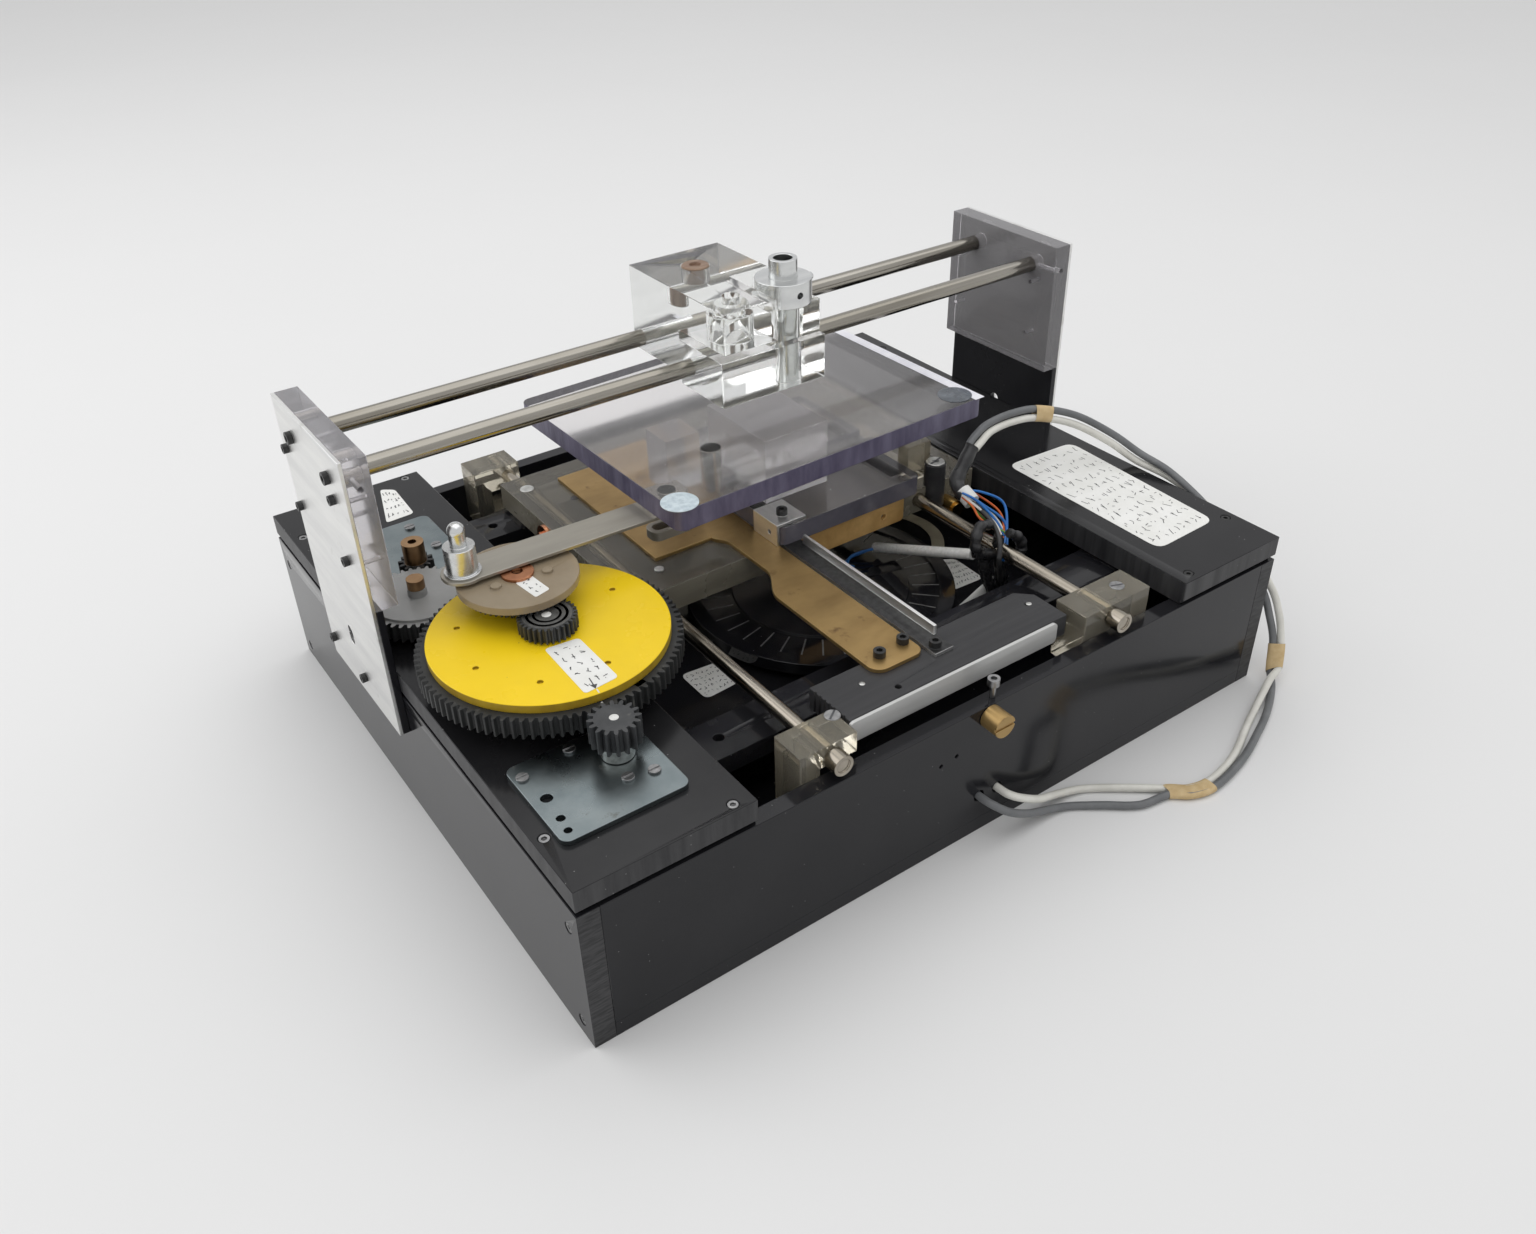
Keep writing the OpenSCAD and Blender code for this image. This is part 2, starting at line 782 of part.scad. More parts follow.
module gear_axles() {
    color("#9b8a6c") {
        at_xy(main_at, top_z) {
            cylinder(r = 14, h = gear_lift - flange_lift);
            cylinder(r = axle_r, h = sun_top - top_z);
        }
        at_xy(idler_at, top_z) {
            cylinder(r = 9, h = idler_z - flange_lift - top_z);
            cylinder(r = spindle_r, h = idler_top + idler_hub_h + 1 - top_z);
            translate([0, 0, idler_top + idler_hub_h + thin - top_z])
                cylinder(r = idler_hub_r - 0.4, h = idler_cap_h);
        }
    }
}

module sun_gear() {
    color("#3b3d3f")
        at_xy(main_at, sun_z)
            spur_gear(sun_teeth, sun_module, sun_t, 0, axle_r);
}

module main_gear() {
    color("#2f3131")
        at_xy(main_at, gear_z)
            spur_gear(main_teeth, gear_module, gear_t, 0, axle_r + run_gap);
}

disc_holes = [[47, 15.4], [60.6, 107.8], [48.9, 142], [46.2, 190], [45.2, 237], [45.4, 283]];

module main_disc() {
    color("#d0b332")
        at_xy(main_at, disc_z)
            difference() {
                cylinder(r = disc_r, h = disc_t);
                translate([0, 0, -1])
                    cylinder(r = axle_r + run_gap, h = disc_t + 2);
                for (p = disc_holes)
                    at_xy(polar(p[0], p[1]), disc_t - 2)
                        cylinder(r = 1.6, h = 3);
            }
}

boss_z = top_z + motor_plate_t + thin;

module front_pinion() {
    color("#35393a")
        at_xy(front_at)
            difference() {
                union() {
                    translate([0, 0, gear_z - 1])
                        spur_gear(front_teeth, gear_module, gear_t + 3, front_phase, shaft_r + run_gap);
                    translate([0, 0, boss_z])
                        cylinder(r = 8.5, h = gear_z - boss_z - 0.5);
                }
                translate([0, 0, boss_z - 1])
                    cylinder(r = shaft_r + run_gap, h = gear_z - boss_z + gear_t + 4);
            }
}

module idler_gear() {
    color("#2f3131")
        at_xy(idler_at, idler_z) {
            spur_gear(idler_teeth, gear_module, idler_t, idler_phase, spindle_r + run_gap);
            translate([0, 0, idler_t - 0.01])
                difference() {
                    union() {
                        cylinder(r = idler_disc_r, h = idler_disc_t);
                        cylinder(r = idler_hub_r, h = idler_hub_h);
                    }
                    translate([0, 0, -1])
                        cylinder(r = spindle_r + run_gap, h = idler_hub_h + 2);
                }
        }
}

module rear_pinion() {
    color("#8d6b46")
        at_xy(rear_at)
            difference() {
                union() {
                    translate([0, 0, idler_z])
                        spur_gear(rear_teeth, gear_module, idler_t, rear_phase, shaft_r + run_gap);
                    translate([0, 0, boss_z])
                        cylinder(r = rear_sleeve_r, h = idler_z - boss_z + 0.5);
                    translate([0, 0, idler_top - 0.01])
                        cylinder(r = rear_sleeve_r, h = rear_sleeve_h);
                }
                translate([0, 0, boss_z - 1])
                    cylinder(r = shaft_r + run_gap, h = idler_top + rear_sleeve_h + 2 - boss_z);
            }
}

module planet_axle() {
    color("#a9a6a0")
        at_xy(planet_at, disc_z + disc_t) {
            cylinder(r = 8, h = sun_z - disc_z - disc_t - flange_lift);
            cylinder(r = spindle_r, h = planet_top - disc_z - disc_t);
        }
}

flange_teeth = 62;
flange_module = 2 * flange_r / (flange_teeth + 1.8);

module planet_gear() {
    bore = spindle_r + run_gap;
    color("#4a4640")
        at_xy(planet_at) {
            translate([0, 0, sun_z])
                spur_gear(planet_teeth, sun_module, flange_z - sun_z + 0.01, planet_phase, bore);
            translate([0, 0, flange_z])
                spur_gear(flange_teeth, flange_module, flange_t, 0, bore);
        }
}

clear_screw_r = 16;
clear_screw_dirs = [200, 330];

module planet_disc() {
    color("#8c7357", 0.6)
        at_xy(planet_at, planet_disc_z) {
            difference() {
                cylinder(r = planet_disc_r, h = planet_disc_t);
                translate([0, 0, -1])
                    cylinder(r = spindle_r + run_gap, h = planet_disc_t + 2);
            }
            for (a = clear_screw_dirs)
                at_xy(polar(clear_screw_r, a), planet_disc_t - 0.01)
                    cylinder(r = 3, h = hub_t - 0.2);
        }
}

module planet_hub() {
    color("#9c5f3c") {
        at_xy(planet_at, planet_top)
            difference() {
                cylinder(r = 9, h = hub_t - 0.2);
                translate([0, 0, -1])
                    cylinder(r = spindle_r - 1, h = hub_t + 2);
            }
        at_xy(crank_at, planet_top)
            cylinder(r = 4.5, h = hub_t);
    }
}

module x_spindle() {
    color("#8f8f8c")
        at_xy(x_disc_at, shelf_top) {
            cylinder(r = 16, h = x_disc_z - shelf_top - flange_lift);
            cylinder(r = 6, h = x_disc_z + x_disc_t + 6 - shelf_top);
            translate([0, 0, x_disc_z + x_disc_t + 4 + thin - shelf_top])
                cylinder(r = 9, h = 4);
        }
}

module x_main_disc() {
    color("#161617")
        at_xy(x_disc_at, x_disc_z)
            difference() {
                union() {
                    cylinder(r = x_disc_r, h = x_disc_t);
                    cylinder(r = x_hub_r, h = x_disc_t + 4);
                }
                translate([0, 0, -1])
                    cylinder(r = 6 + run_gap, h = x_disc_t + 6);
                translate([0, 0, x_disc_t - 1.5])
                    difference() {
                        cylinder(r = x_disc_r - 10, h = 3);
                        translate([0, 0, -1])
                            cylinder(r = x_disc_r - 30, h = 5);
                    }
            }
}

// Brackets and rods that the carriage runs on

// A clear bar that holds the rod, with a foot or leg that reaches down
module rod_bracket(x, x0, x1, y0, y1, leg_x1, leg_z) {
    difference() {
        union() {
            block([x0, y0, bracket_low], [x1, y1, bracket_top]);
            block([x0, y0, leg_z], [leg_x1, y1, bracket_low + 0.01]);
        }
        translate([x, y0 - 1, rod_z])
            along_y()
                cylinder(d = rod_d, h = y1 - y0 + 2);
    }
}

front_left_leg = side_h - 31;
front_right_leg = side_h - 21;
rear_leg = side_h - 25;
rear_notch = side_h - 15;
front_left_x = [rod_left_x - 20, rod_left_x + 16];
front_right_x = [rod_right_x - 22, rod_right_x + 31];
leg_t = 12.7;

module front_left_bracket() {
    color("#c9c3ac", 0.6)
        rod_bracket(rod_left_x, front_left_x[0], front_left_x[1],
            -inner_y, bracket_d - inner_y, front_left_x[0] + leg_t, front_left_leg);
}

module front_right_bracket() {
    color("#c9c3ac", 0.6)
        rod_bracket(rod_right_x, front_right_x[0], front_right_x[1],
            -inner_y, bracket_d + 1 - inner_y, front_right_x[1], front_right_leg);
}

module rear_brackets() {
    color("#c9c3ac", 0.6)
        for (x = [rod_left_x, rod_right_x])
            difference() {
                rod_bracket(x, x - 24, x + 9, inner_y - bracket_d, inner_y, x + 9, rear_leg);
                block(
                    [x - 13, inner_y - bracket_d - 1, rear_notch],
                    [x + 10, inner_y + 1, rod_z - rod_d / 2 - 4]);
            }
}

module y_rods() {
    color("#c9c4ba")
        for (x = [rod_left_x, rod_right_x])
            translate([x, -inner_y - rod_out, rod_z])
                along_y() {
                    cylinder(d = rod_d, h = 2 * inner_y + rod_out);
                    translate([0, 0, rod_out - 1.5 - thin])
                        difference() {
                            translate([0, 0, -rod_out])
                                cylinder(d = rod_d + 3, h = rod_out + 1);
                            translate([0, 0, -rod_out - 1])
                                cylinder(d = rod_d - 1, h = 2);
                        }
                }
}

// Carriage that slides along the box's depth

// The wide clear slab that runs on both rods, notched for the small motor
module carriage_slab() {
    color("#d8d3bf", 0.5)
        difference() {
            block([slab_left, slab_front, slab_bottom], [slab_right, slab_rear, carriage_z]);
            for (x = [rod_left_x, rod_right_x])
                translate([x, slab_front - 1, rod_z])
                    along_y()
                        cylinder(d = rod_d + 2 * run_gap, h = slab_rear - slab_front + 2);
            at_xy(deck_motor_at, slab_bottom - 1)
                cylinder(r = deck_motor_r, h = slab_t + 2);
        }
}

post_left = deck_x + deck_w + 3;
post_right = rod_right_x + 18;
post_front = slab_front + 10;
post_top = deck_top + 11.1;

// A clear foot under the deck's right end, with a post that stands beside the deck
module right_block() {
    color("#d8d3bf", 0.5) {
        block([post_left - 14, post_front, carriage_z], [post_right, post_front + 75, deck_z]);
        block([post_left, post_front, deck_z - 0.01], [post_right, post_front + 10, post_top]);
    }
}

// The brass arm: wide over the front block, a bend to a narrower neck, and a
// plate at its rear
arm_bend_from = -75;
arm_bend_to = -46;
arm_plate_from = 4;
arm_plate_w = 68;

function bend(from, to, t) = from + (to - from) * (1 - cos(180 * t)) / 2;

module brass_arm() {
    wide = arm_right - arm_w;
    narrow = arm_right - arm_neck_w;
    outer = arm_right - arm_plate_w;
    rear = slab_rear - 20;
    color("#a5793f")
        translate([0, 0, carriage_z])
            linear_extrude(height = arm_t)
                polygon(concat(
                    [[arm_right, rear], [outer, rear], [outer, arm_plate_from]],
                    [for (k = [0:6])
                        [bend(narrow, narrow - 6, (6 - k) / 6), arm_plate_from - 12 + 2 * (6 - k)]],
                    [for (k = [0:10])
                        [bend(narrow, wide, k / 10), arm_bend_to + (arm_bend_from - arm_bend_to) * k / 10]],
                    [for (k = [0:6])
                        [wide + 8 - 8 * cos(15 * k), arm_front + 8 - 8 * sin(15 * k)]],
                    [for (k = [0:6])
                        [arm_right - 6 + 6 * sin(15 * k), arm_front + 6 - 6 * cos(15 * k)]]));
}

module arm_screw(x, y) {
    translate([x, y, 0])
        socket_screw(rim_head_d, 4, 0);
}

bar_x = 8;
bar_w = 85;
bar_h = 18.7;

module brass_bar() {
    color("#a5793f")
        difference() {
            translate([bar_x, slab_front, slab_bottom + 0.9])
                rotate([90, 0, 0])
                    rounded_plate(bar_w, bar_h, 3, 3);
            translate([bar_x + 68, slab_front - 5, slab_bottom + 9])
                along_y()
                    cylinder(r = 2, h = 8);
        }
}

strut_x = deck_x + 2;
strut_w = 13;
strut_front = front_block_front + 14;

module strut() {
    color("#8d8b86") {
        block([strut_x, strut_front, carriage_z], [strut_x + strut_w, 40, carriage_z + arm_t]);
        block(
            [strut_x + strut_w - 2, strut_front + 14, carriage_z + arm_t - 0.01],
            [strut_x + strut_w, deck_y - 4, carriage_z + arm_t + 6]);
        translate([0, 0, carriage_z + arm_t]) {
            arm_screw(strut_x + 5, strut_front + 6);
            arm_screw(arm_right - arm_w + 11, arm_front + 11);
            arm_screw(arm_right - 5, arm_front + 13);
        }
    }
}

module front_block() {
    bottom = front_block_top - front_block_h;
    right = front_block_x + front_block_w;
    back = front_block_front + front_block_d;
    color("#262628")
        difference() {
            block([front_block_x, front_block_front, bottom], [right, back, front_block_top]);
            for (p = [[24, 20], [front_block_w - 10, 21]])
                translate([front_block_x + p[0], front_block_front + p[1], front_block_top - 2])
                    cylinder(r = 1.5, h = 3);
            translate([front_block_x + 38, front_block_front + 7, front_block_top - 6])
                cylinder(r = 1.8, h = 7);
            for (k = [0:6])
                translate([front_block_x - 1, front_block_front + 4 + 4 * k, bottom - 1])
                    cube([1.8, 1.6, front_block_h + 2]);
            translate([right, back, bottom - 1])
                rotate([0, 0, 45])
                    cube([12, 12, 40], center = true);
        }
}

module block_strip() {
    color("#c4c4be")
        translate([front_block_x - 1, front_block_front, front_block_top - front_block_h])
            rotate([90, 0, 0])
                rounded_plate(front_block_w - 8, front_block_h - 0.5, 2, 3);
}

// The deck, with a groove in which the table's block slides
module deck_plate() {
    color("#b9b2bd", 0.5)
        difference() {
            translate([deck_x, deck_y, deck_z])
                rounded_plate(deck_w, deck_d, deck_t, 5);
            block(
                [deck_x - 1, groove_y, deck_top - groove_deep],
                [deck_x + deck_w + 1, groove_y + groove_w, deck_top + 1]);
        }
}

module deck_bracket() {
    color("#c9c8c2")
        difference() {
            union() {
                block([deck_x - 2, deck_y + 2, deck_top], [deck_x + 20, deck_y + 27, deck_top + 2]);
                block([deck_x - 2, deck_y + 2, deck_z], [deck_x, deck_y + 27, deck_top + 0.01]);
                translate([deck_x + 9, deck_y + 12, deck_top + 2])
                    socket_screw(rim_head_d, 4, 0);
            }
            translate([deck_x - 3, deck_y + 10, deck_z + 7])
                along_x()
                    cylinder(r = 1.5, h = 4);
        }
}

deck_motor_low = carriage_z - 14.7;

module deck_motor() {
    color("#1f1f20")
        at_xy(deck_motor_at) {
            translate([0, 0, deck_motor_low])
                cylinder(r = deck_motor_r, h = 30);
            translate([0, 0, deck_motor_low - 6])
                cylinder(r = 4.5, h = 6.01);
        }
}

// Table that slides along the box's width on the deck

module slide_blocks() {
    base = deck_top + thin;
    color("#dcdad0", 0.4) {
        block([2, groove_y - 21, base], [50, groove_y + groove_w + 31, table_z]);
        block(
            [2, groove_y + run_gap * 2, deck_top - groove_deep + thin],
            [50, groove_y + groove_w - run_gap * 2, base + 0.01]);
        block([-46, 34, base], [-22, 58, table_z]);
    }
}

// A steel post and the pivot pin of the connecting strip, both under the table
module table_fittings() {
    color("#9a988f") {
        at_xy([-28, 12], deck_top + 9)
            cylinder(d = 13, h = table_z - deck_top - 9);
        at_xy(pivot_at) {
            translate([0, 0, strip_z - 3])
                cylinder(r = pin_r, h = table_z - strip_z + 3);
            translate([0, 0, strip_z - 4])
                cylinder(r = pin_r + 2.5, h = 4 - thin);
            translate([0, 0, strip_top + thin])
                cylinder(r = pin_r + 2.5, h = table_z - strip_top - thin);
        }
    }
}

module drawing_table() {
    color("#a39fb8", 0.5)
        translate([table_at[0], table_at[1], table_z])
            rotate([0, 0, table_turn])
                rounded_plate(table_w, table_d, table_t, 6);
}

module connecting_strip() {
    foot_x = pivot_at[0] - 12;
    foot_z = strip_z - 19;
    color("#c3c6c6") {
        difference() {
            at_xy(pivot_at, strip_z)
                rotate([0, 0, strip_dir]) {
                    linear_extrude(height = strip_t) {
                        translate([0, -strip_w / 2])
                            square([strip_l, strip_w]);
                        translate([strip_l, 0])
                            circle(d = strip_w + 2);
                        circle(d = strip_w);
                    }
                }
            at_xy(pivot_at, strip_z - 1)
                cylinder(r = pin_r + run_gap, h = strip_t + 2);
        }
        difference() {
            translate([foot_x, pivot_at[1] - 4, foot_z])
                rounded_plate(24, 13, 6, 5);
            translate([foot_x + 3, pivot_at[1] - 1, foot_z - 1])
                rounded_plate(15, 7, 8, 3.4);
        }
        block([foot_x + 21, pivot_at[1] - 4, foot_z], [foot_x + 24, pivot_at[1] + 9, strip_top]);
    }
}

module crank_post() {
    color("#b9b7b0")
        at_xy(crank_at, strip_top) {
            cylinder(r = collar_d / 2 + 1.5, h = 1.2);
            translate([0, 0, 1.19])
                cylinder(d = collar_d, h = 15);
            translate([0, 0, 16])
                cylinder(r = 4.5, h = 9);
            translate([0, 0, 25])
                sphere(r = 4.8);
        }
}

// Pen carriage that slides on the gantry rods

module pen_block() {
    color("#e6e8e4", 0.35)
        difference() {
            union() {
                block([pen_left, pen_main_front, pen_main_bottom], [pen_main_right, pen_back, pen_top]);
                block([pen_left, pen_front - 3, pen_step], [0, pen_main_front + 0.01, pen_top]);
                block([-0.01, pen_front + 5, pen_shelf - 0.01], [pen_right, pen_main_front + 0.01, tube_top]);
                block([pen_left, pen_front, pen_low], [pen_right, pen_main_front + 0.01, pen_shelf]);
            }
            for (y = [front_rod_y, rear_rod_y])
                translate([pen_left - 4, y, gantry_rod_z])
                    along_x()
                        cylinder(d = gantry_rod_d + 2 * run_gap, h = pen_right - pen_left + 8);
            at_xy(pen_at, pen_low - 1)
                cylinder(d = pen_d + 2 * run_gap, h = tube_top - pen_low + 2);
            at_xy(plug_at, pen_top - plug_deep)
                cylinder(r = plug_r, h = plug_deep + 1);
            at_xy(pocket_at, pen_step - 1)
                cylinder(r = pocket_r, h = pen_top - pen_step - 8);
            at_xy(pocket_at, pen_top - 12)
                cylinder(r = pocket_r / 2, h = 14);
        }
}

collar_z = tube_top;

module pen_collar() {
    color("#b9bab6")
        difference() {
            union() {
                at_xy(pen_at, collar_z)
                    cylinder(d = pen_collar_d, h = pen_collar_h);
                translate([pen_at[0], pen_at[1], collar_z + pen_collar_h / 2])
                    rotate([0, 90, 15])
                        cylinder(r = 2.2, h = pen_collar_d / 2 + 9);
            }
            at_xy(pen_at, collar_z - 1)
                cylinder(d = pen_d, h = pen_collar_h + 2);
            translate([pen_at[0], pen_at[1], collar_z + pen_collar_h / 2])
                rotate([90, 0, 0])
                    cylinder(r = 1.8, h = pen_collar_d);
        }
}

module pen_tube() {
    color("#c8c9c6")
        at_xy(pen_at, pen_bottom)
            difference() {
                cylinder(d = pen_d, h = pen_l);
                translate([0, 0, -1])
                    cylinder(d = pen_bore, h = pen_l + 2);
            }
}

// Cables

module white_cable() {
    color("#c9c8bd")
        tube(white_route, 2, cable_r, 8, [0, 0, 1]);
}

module grey_cable() {
    color("#6f7173")
        tube(grey_route, 2, cable_r, 8, [0, 0, 1]);
}

module wire_bundle() {
    color("#1c1c1d")
        tube(bundle_route, 2, bundle_r, 8, [1, 0, 0]);
}

base_plate();
left_side_panel();
right_side_panel();
front_panel();
back_panel();
left_top_plate();
right_top_plate();
inner_rails();
drive_shelf();
box_screws();
gantry_plates();
left_rod_block();
right_rod_block();
gantry_spacers();
gantry_rods();
gantry_screws();
front_motor_plate();
rear_motor_plate();
y_motors();
gear_axles();
sun_gear();
x_spindle();
front_knob();
front_left_bracket();
front_right_bracket();
rear_brackets();
y_rods();
white_cable();
grey_cable();
wire_bundle();
main_gear();
main_disc();
front_pinion();
idler_gear();
rear_pinion();
planet_axle();
planet_gear();
planet_disc();
planet_hub();
x_main_disc();
carriage_slab();
right_block();
brass_arm();
brass_bar();
strut();
deck_bracket();
front_block();
block_strip();
deck_plate();
deck_motor();
slide_blocks();
table_fittings();
drawing_table();
connecting_strip();
crank_post();
pen_block();
pen_collar();
pen_tube();
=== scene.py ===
import json
import math
import bmesh
import bpy
import numpy as np
from mathutils import Matrix, Vector

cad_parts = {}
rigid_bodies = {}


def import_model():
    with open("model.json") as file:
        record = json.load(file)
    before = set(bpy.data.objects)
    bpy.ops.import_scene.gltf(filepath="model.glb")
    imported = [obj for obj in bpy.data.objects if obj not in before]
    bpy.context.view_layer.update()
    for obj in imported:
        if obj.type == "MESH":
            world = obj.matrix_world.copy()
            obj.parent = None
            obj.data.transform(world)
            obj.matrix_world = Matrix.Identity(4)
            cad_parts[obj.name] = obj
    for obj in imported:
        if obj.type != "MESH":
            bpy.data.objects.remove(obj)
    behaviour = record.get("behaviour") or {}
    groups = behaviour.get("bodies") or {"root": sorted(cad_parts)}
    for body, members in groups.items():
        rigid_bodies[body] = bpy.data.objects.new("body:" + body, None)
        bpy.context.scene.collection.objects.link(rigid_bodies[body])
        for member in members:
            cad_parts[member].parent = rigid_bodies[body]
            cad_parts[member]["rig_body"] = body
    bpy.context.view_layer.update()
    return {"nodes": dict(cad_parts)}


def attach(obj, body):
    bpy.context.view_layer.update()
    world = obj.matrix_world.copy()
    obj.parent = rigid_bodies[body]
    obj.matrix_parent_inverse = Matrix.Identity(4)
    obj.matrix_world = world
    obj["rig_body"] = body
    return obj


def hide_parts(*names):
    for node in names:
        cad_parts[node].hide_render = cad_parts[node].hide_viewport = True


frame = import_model()
nodes = frame["nodes"]
mm = 0.001
print("frame loaded,", len(nodes), "nodes")


# Camera, matched to the photograph
photo = {
    "width": 1536,
    "height": 1234,
    "focalPixels": 1296.718,
    "centreX": 767.691,
    "centreY": 604.716,
    "place": (-0.397737, -0.578331, 0.528561),
    "right": (0.814203, -0.580245, -0.019722),
    "down": (-0.341734, -0.451508, -0.824232),
    "forward": (0.469352, 0.677832, -0.565908),
}


def addCamera():
    data = bpy.data.cameras.new("camera")
    data.sensor_width = 36.0
    data.lens = photo["focalPixels"] / photo["width"] * data.sensor_width
    data.shift_x = (photo["width"] / 2 - photo["centreX"]) / photo["width"]
    data.shift_y = (photo["centreY"] - photo["height"] / 2) / photo["width"]
    camera = bpy.data.objects.new("camera", data)
    right, down, forward = (Vector(photo[k]) for k in ("right", "down", "forward"))
    turn = Matrix((right, -down, -forward)).transposed().to_4x4()
    camera.matrix_world = Matrix.Translation(photo["place"]) @ turn
    bpy.context.scene.collection.objects.link(camera)
    bpy.context.scene.camera = camera


addCamera()
bpy.context.scene.view_settings.view_transform = "Standard"


# Node helpers
def addNode(tree, kind, values=None, **settings):
    # each value is a constant for a socket, or the output of a node to link to it
    node = tree.nodes.new("ShaderNode" + kind)
    for key, value in settings.items():
        setattr(node, key, value)
    for key, value in (values or {}).items():
        if isinstance(value, bpy.types.NodeSocket):
            tree.links.new(value, node.inputs[key])
        else:
            node.inputs[key].default_value = value
    return node


def newGroup(name, **inputs):
    # a group with the inputs given, by name and kind, and one number as its result
    group = bpy.data.node_groups.new(name, "ShaderNodeTree")
    for label, kind in inputs.items():
        group.interface.new_socket(label, in_out="INPUT", socket_type="NodeSocket" + kind)
    group.interface.new_socket("Value", in_out="OUTPUT", socket_type="NodeSocketFloat")
    given = group.nodes.new("NodeGroupInput").outputs
    return group, given, group.nodes.new("NodeGroupOutput").inputs["Value"]


def makeStretchedNoise():
    # noise on object coordinates times Stretch, spread between Low and High
    group, given, result = newGroup(
        "stretchedNoise", Stretch="Vector", Low="Float", High="Float", Detail="Float")
    place = addNode(group, "TexCoord").outputs["Object"]
    scaled = addNode(group, "VectorMath", {0: place, 1: given["Stretch"]}, operation="MULTIPLY")
    values = {"Vector": scaled.outputs[0], "Detail": given["Detail"], "Scale": 1.0, "Roughness": 0.6}
    noise = addNode(group, "TexNoise", values)
    values = {"Value": noise.outputs["Fac"], "From Min": given["Low"], "From Max": given["High"]}
    spread = addNode(group, "MapRange", values, clamp=True)
    group.links.new(spread.outputs["Result"], result)
    return group


def makeDustSpecks():
    # small dots, one in some of the cells of an uneven cell pattern
    group, given, result = newGroup("dustSpecks", Scale="Float", Size="Float", Share="Float")
    place = addNode(group, "TexCoord").outputs["Object"]
    cells = addNode(group, "TexVoronoi", {"Vector": place, "Scale": given["Scale"]}).outputs
    near = addNode(group, "Math", {0: cells["Distance"], 1: given["Size"]}, operation="LESS_THAN")
    chosen = addNode(group, "Math", {0: cells["Color"], 1: given["Share"]}, operation="LESS_THAN")
    both = addNode(group, "Math", {0: near.outputs[0], 1: chosen.outputs[0]}, operation="MULTIPLY")
    group.links.new(both.outputs[0], result)
    return group


def makeUprightFaces():
    # 1 on faces that stand upright, 0 on level ones
    group, given, result = newGroup("uprightFaces", Edge="Float")
    split = addNode(group, "SeparateXYZ", {0: addNode(group, "NewGeometry").outputs["Normal"]})
    size = addNode(group, "Math", {0: split.outputs["Z"]}, operation="ABSOLUTE").outputs[0]
    upright = addNode(group, "Math", {0: size, 1: given["Edge"]}, operation="LESS_THAN")
    group.links.new(upright.outputs[0], result)
    return group


stretchedNoise = makeStretchedNoise()
dustSpecks = makeDustSpecks()
uprightFaces = makeUprightFaces()


def blendColours(tree, mask, first, second):
    first, second = ((*c, 1) if isinstance(c, tuple) else c for c in (first, second))
    return addNode(tree, "Mix", {"Factor": mask, 6: first, 7: second}, data_type="RGBA").outputs[2]


def blendValues(tree, mask, first, second):
    return addNode(tree, "Mix", {"Factor": mask, 2: first, 3: second}, data_type="FLOAT").outputs[0]


dustRough = 0.8
toneSpread = (0.35, 0.65)
smearSpread = (0.3, 0.7)
bumpSpread = (0.2, 0.8)


def noiseMask(tree, grain, low, high, detail=4):
    # grain is one number for all directions, or one for each
    stretch = grain if isinstance(grain, tuple) else (grain, grain, grain)
    values = {"Stretch": stretch, "Low": low, "High": high, "Detail": detail}
    return addNode(tree, "Group", values, node_tree=stretchedNoise).outputs[0]


def makeMaterial(name, look):
    # two colours and two roughnesses mixed by noise; stains, sawn sides, dust and a bump where asked
    material = bpy.data.materials.new(name)
    material.use_nodes = True
    tree = material.node_tree
    shader = tree.nodes["Principled BSDF"]
    shader.inputs["Metallic"].default_value = look.get("metal", 0.0)
    shader.inputs["IOR"].default_value = look.get("ior", 1.49)
    shader.inputs["Transmission Weight"].default_value = look.get("clear", 0.0)
    shader.inputs["Specular IOR Level"].default_value = look.get("specular", 0.5)
    tone = noiseMask(tree, look["grain"], *look.get("spread", toneSpread))
    colour = blendColours(tree, tone, *look["colours"])
    smear = noiseMask(tree, look.get("smear", 22), *smearSpread)
    rough = blendValues(tree, smear, *look["rough"])
    if "stain" in look:
        stain = look["stain"]
        mask = noiseMask(tree, stain["grain"], *stain["spread"])
        colour = blendColours(tree, mask, colour, stain["colour"])
        rough = blendValues(tree, mask, rough, stain["rough"])
    if "side" in look:
        side = look["side"]
        streak = noiseMask(tree, side["grain"], *toneSpread, detail=8)
        sideColour = blendColours(tree, streak, *side["colours"])
        mask = addNode(tree, "Group", {"Edge": 0.5}, node_tree=uprightFaces).outputs[0]
        colour = blendColours(tree, mask, colour, sideColour)
        rough = blendValues(tree, mask, rough, side["rough"])
    if "dust" in look:
        dust = look["dust"]
        values = {"Scale": dust["scale"], "Size": dust["size"], "Share": dust["share"]}
        mask = addNode(tree, "Group", values, node_tree=dustSpecks).outputs[0]
        colour = blendColours(tree, mask, colour, dust["colour"])
        rough = blendValues(tree, mask, rough, dustRough)
    tree.links.new(colour, shader.inputs["Base Color"])
    tree.links.new(rough, shader.inputs["Roughness"])
    if "bump" in look:
        bump = look["bump"]
        height = noiseMask(tree, bump["grain"], *bumpSpread, detail=6)
        values = {"Height": height, "Strength": bump["strength"], "Distance": bump["depth"]}
        relief = addNode(tree, "Bump", values)
        tree.links.new(relief.outputs["Normal"], shader.inputs["Normal"])
    return material


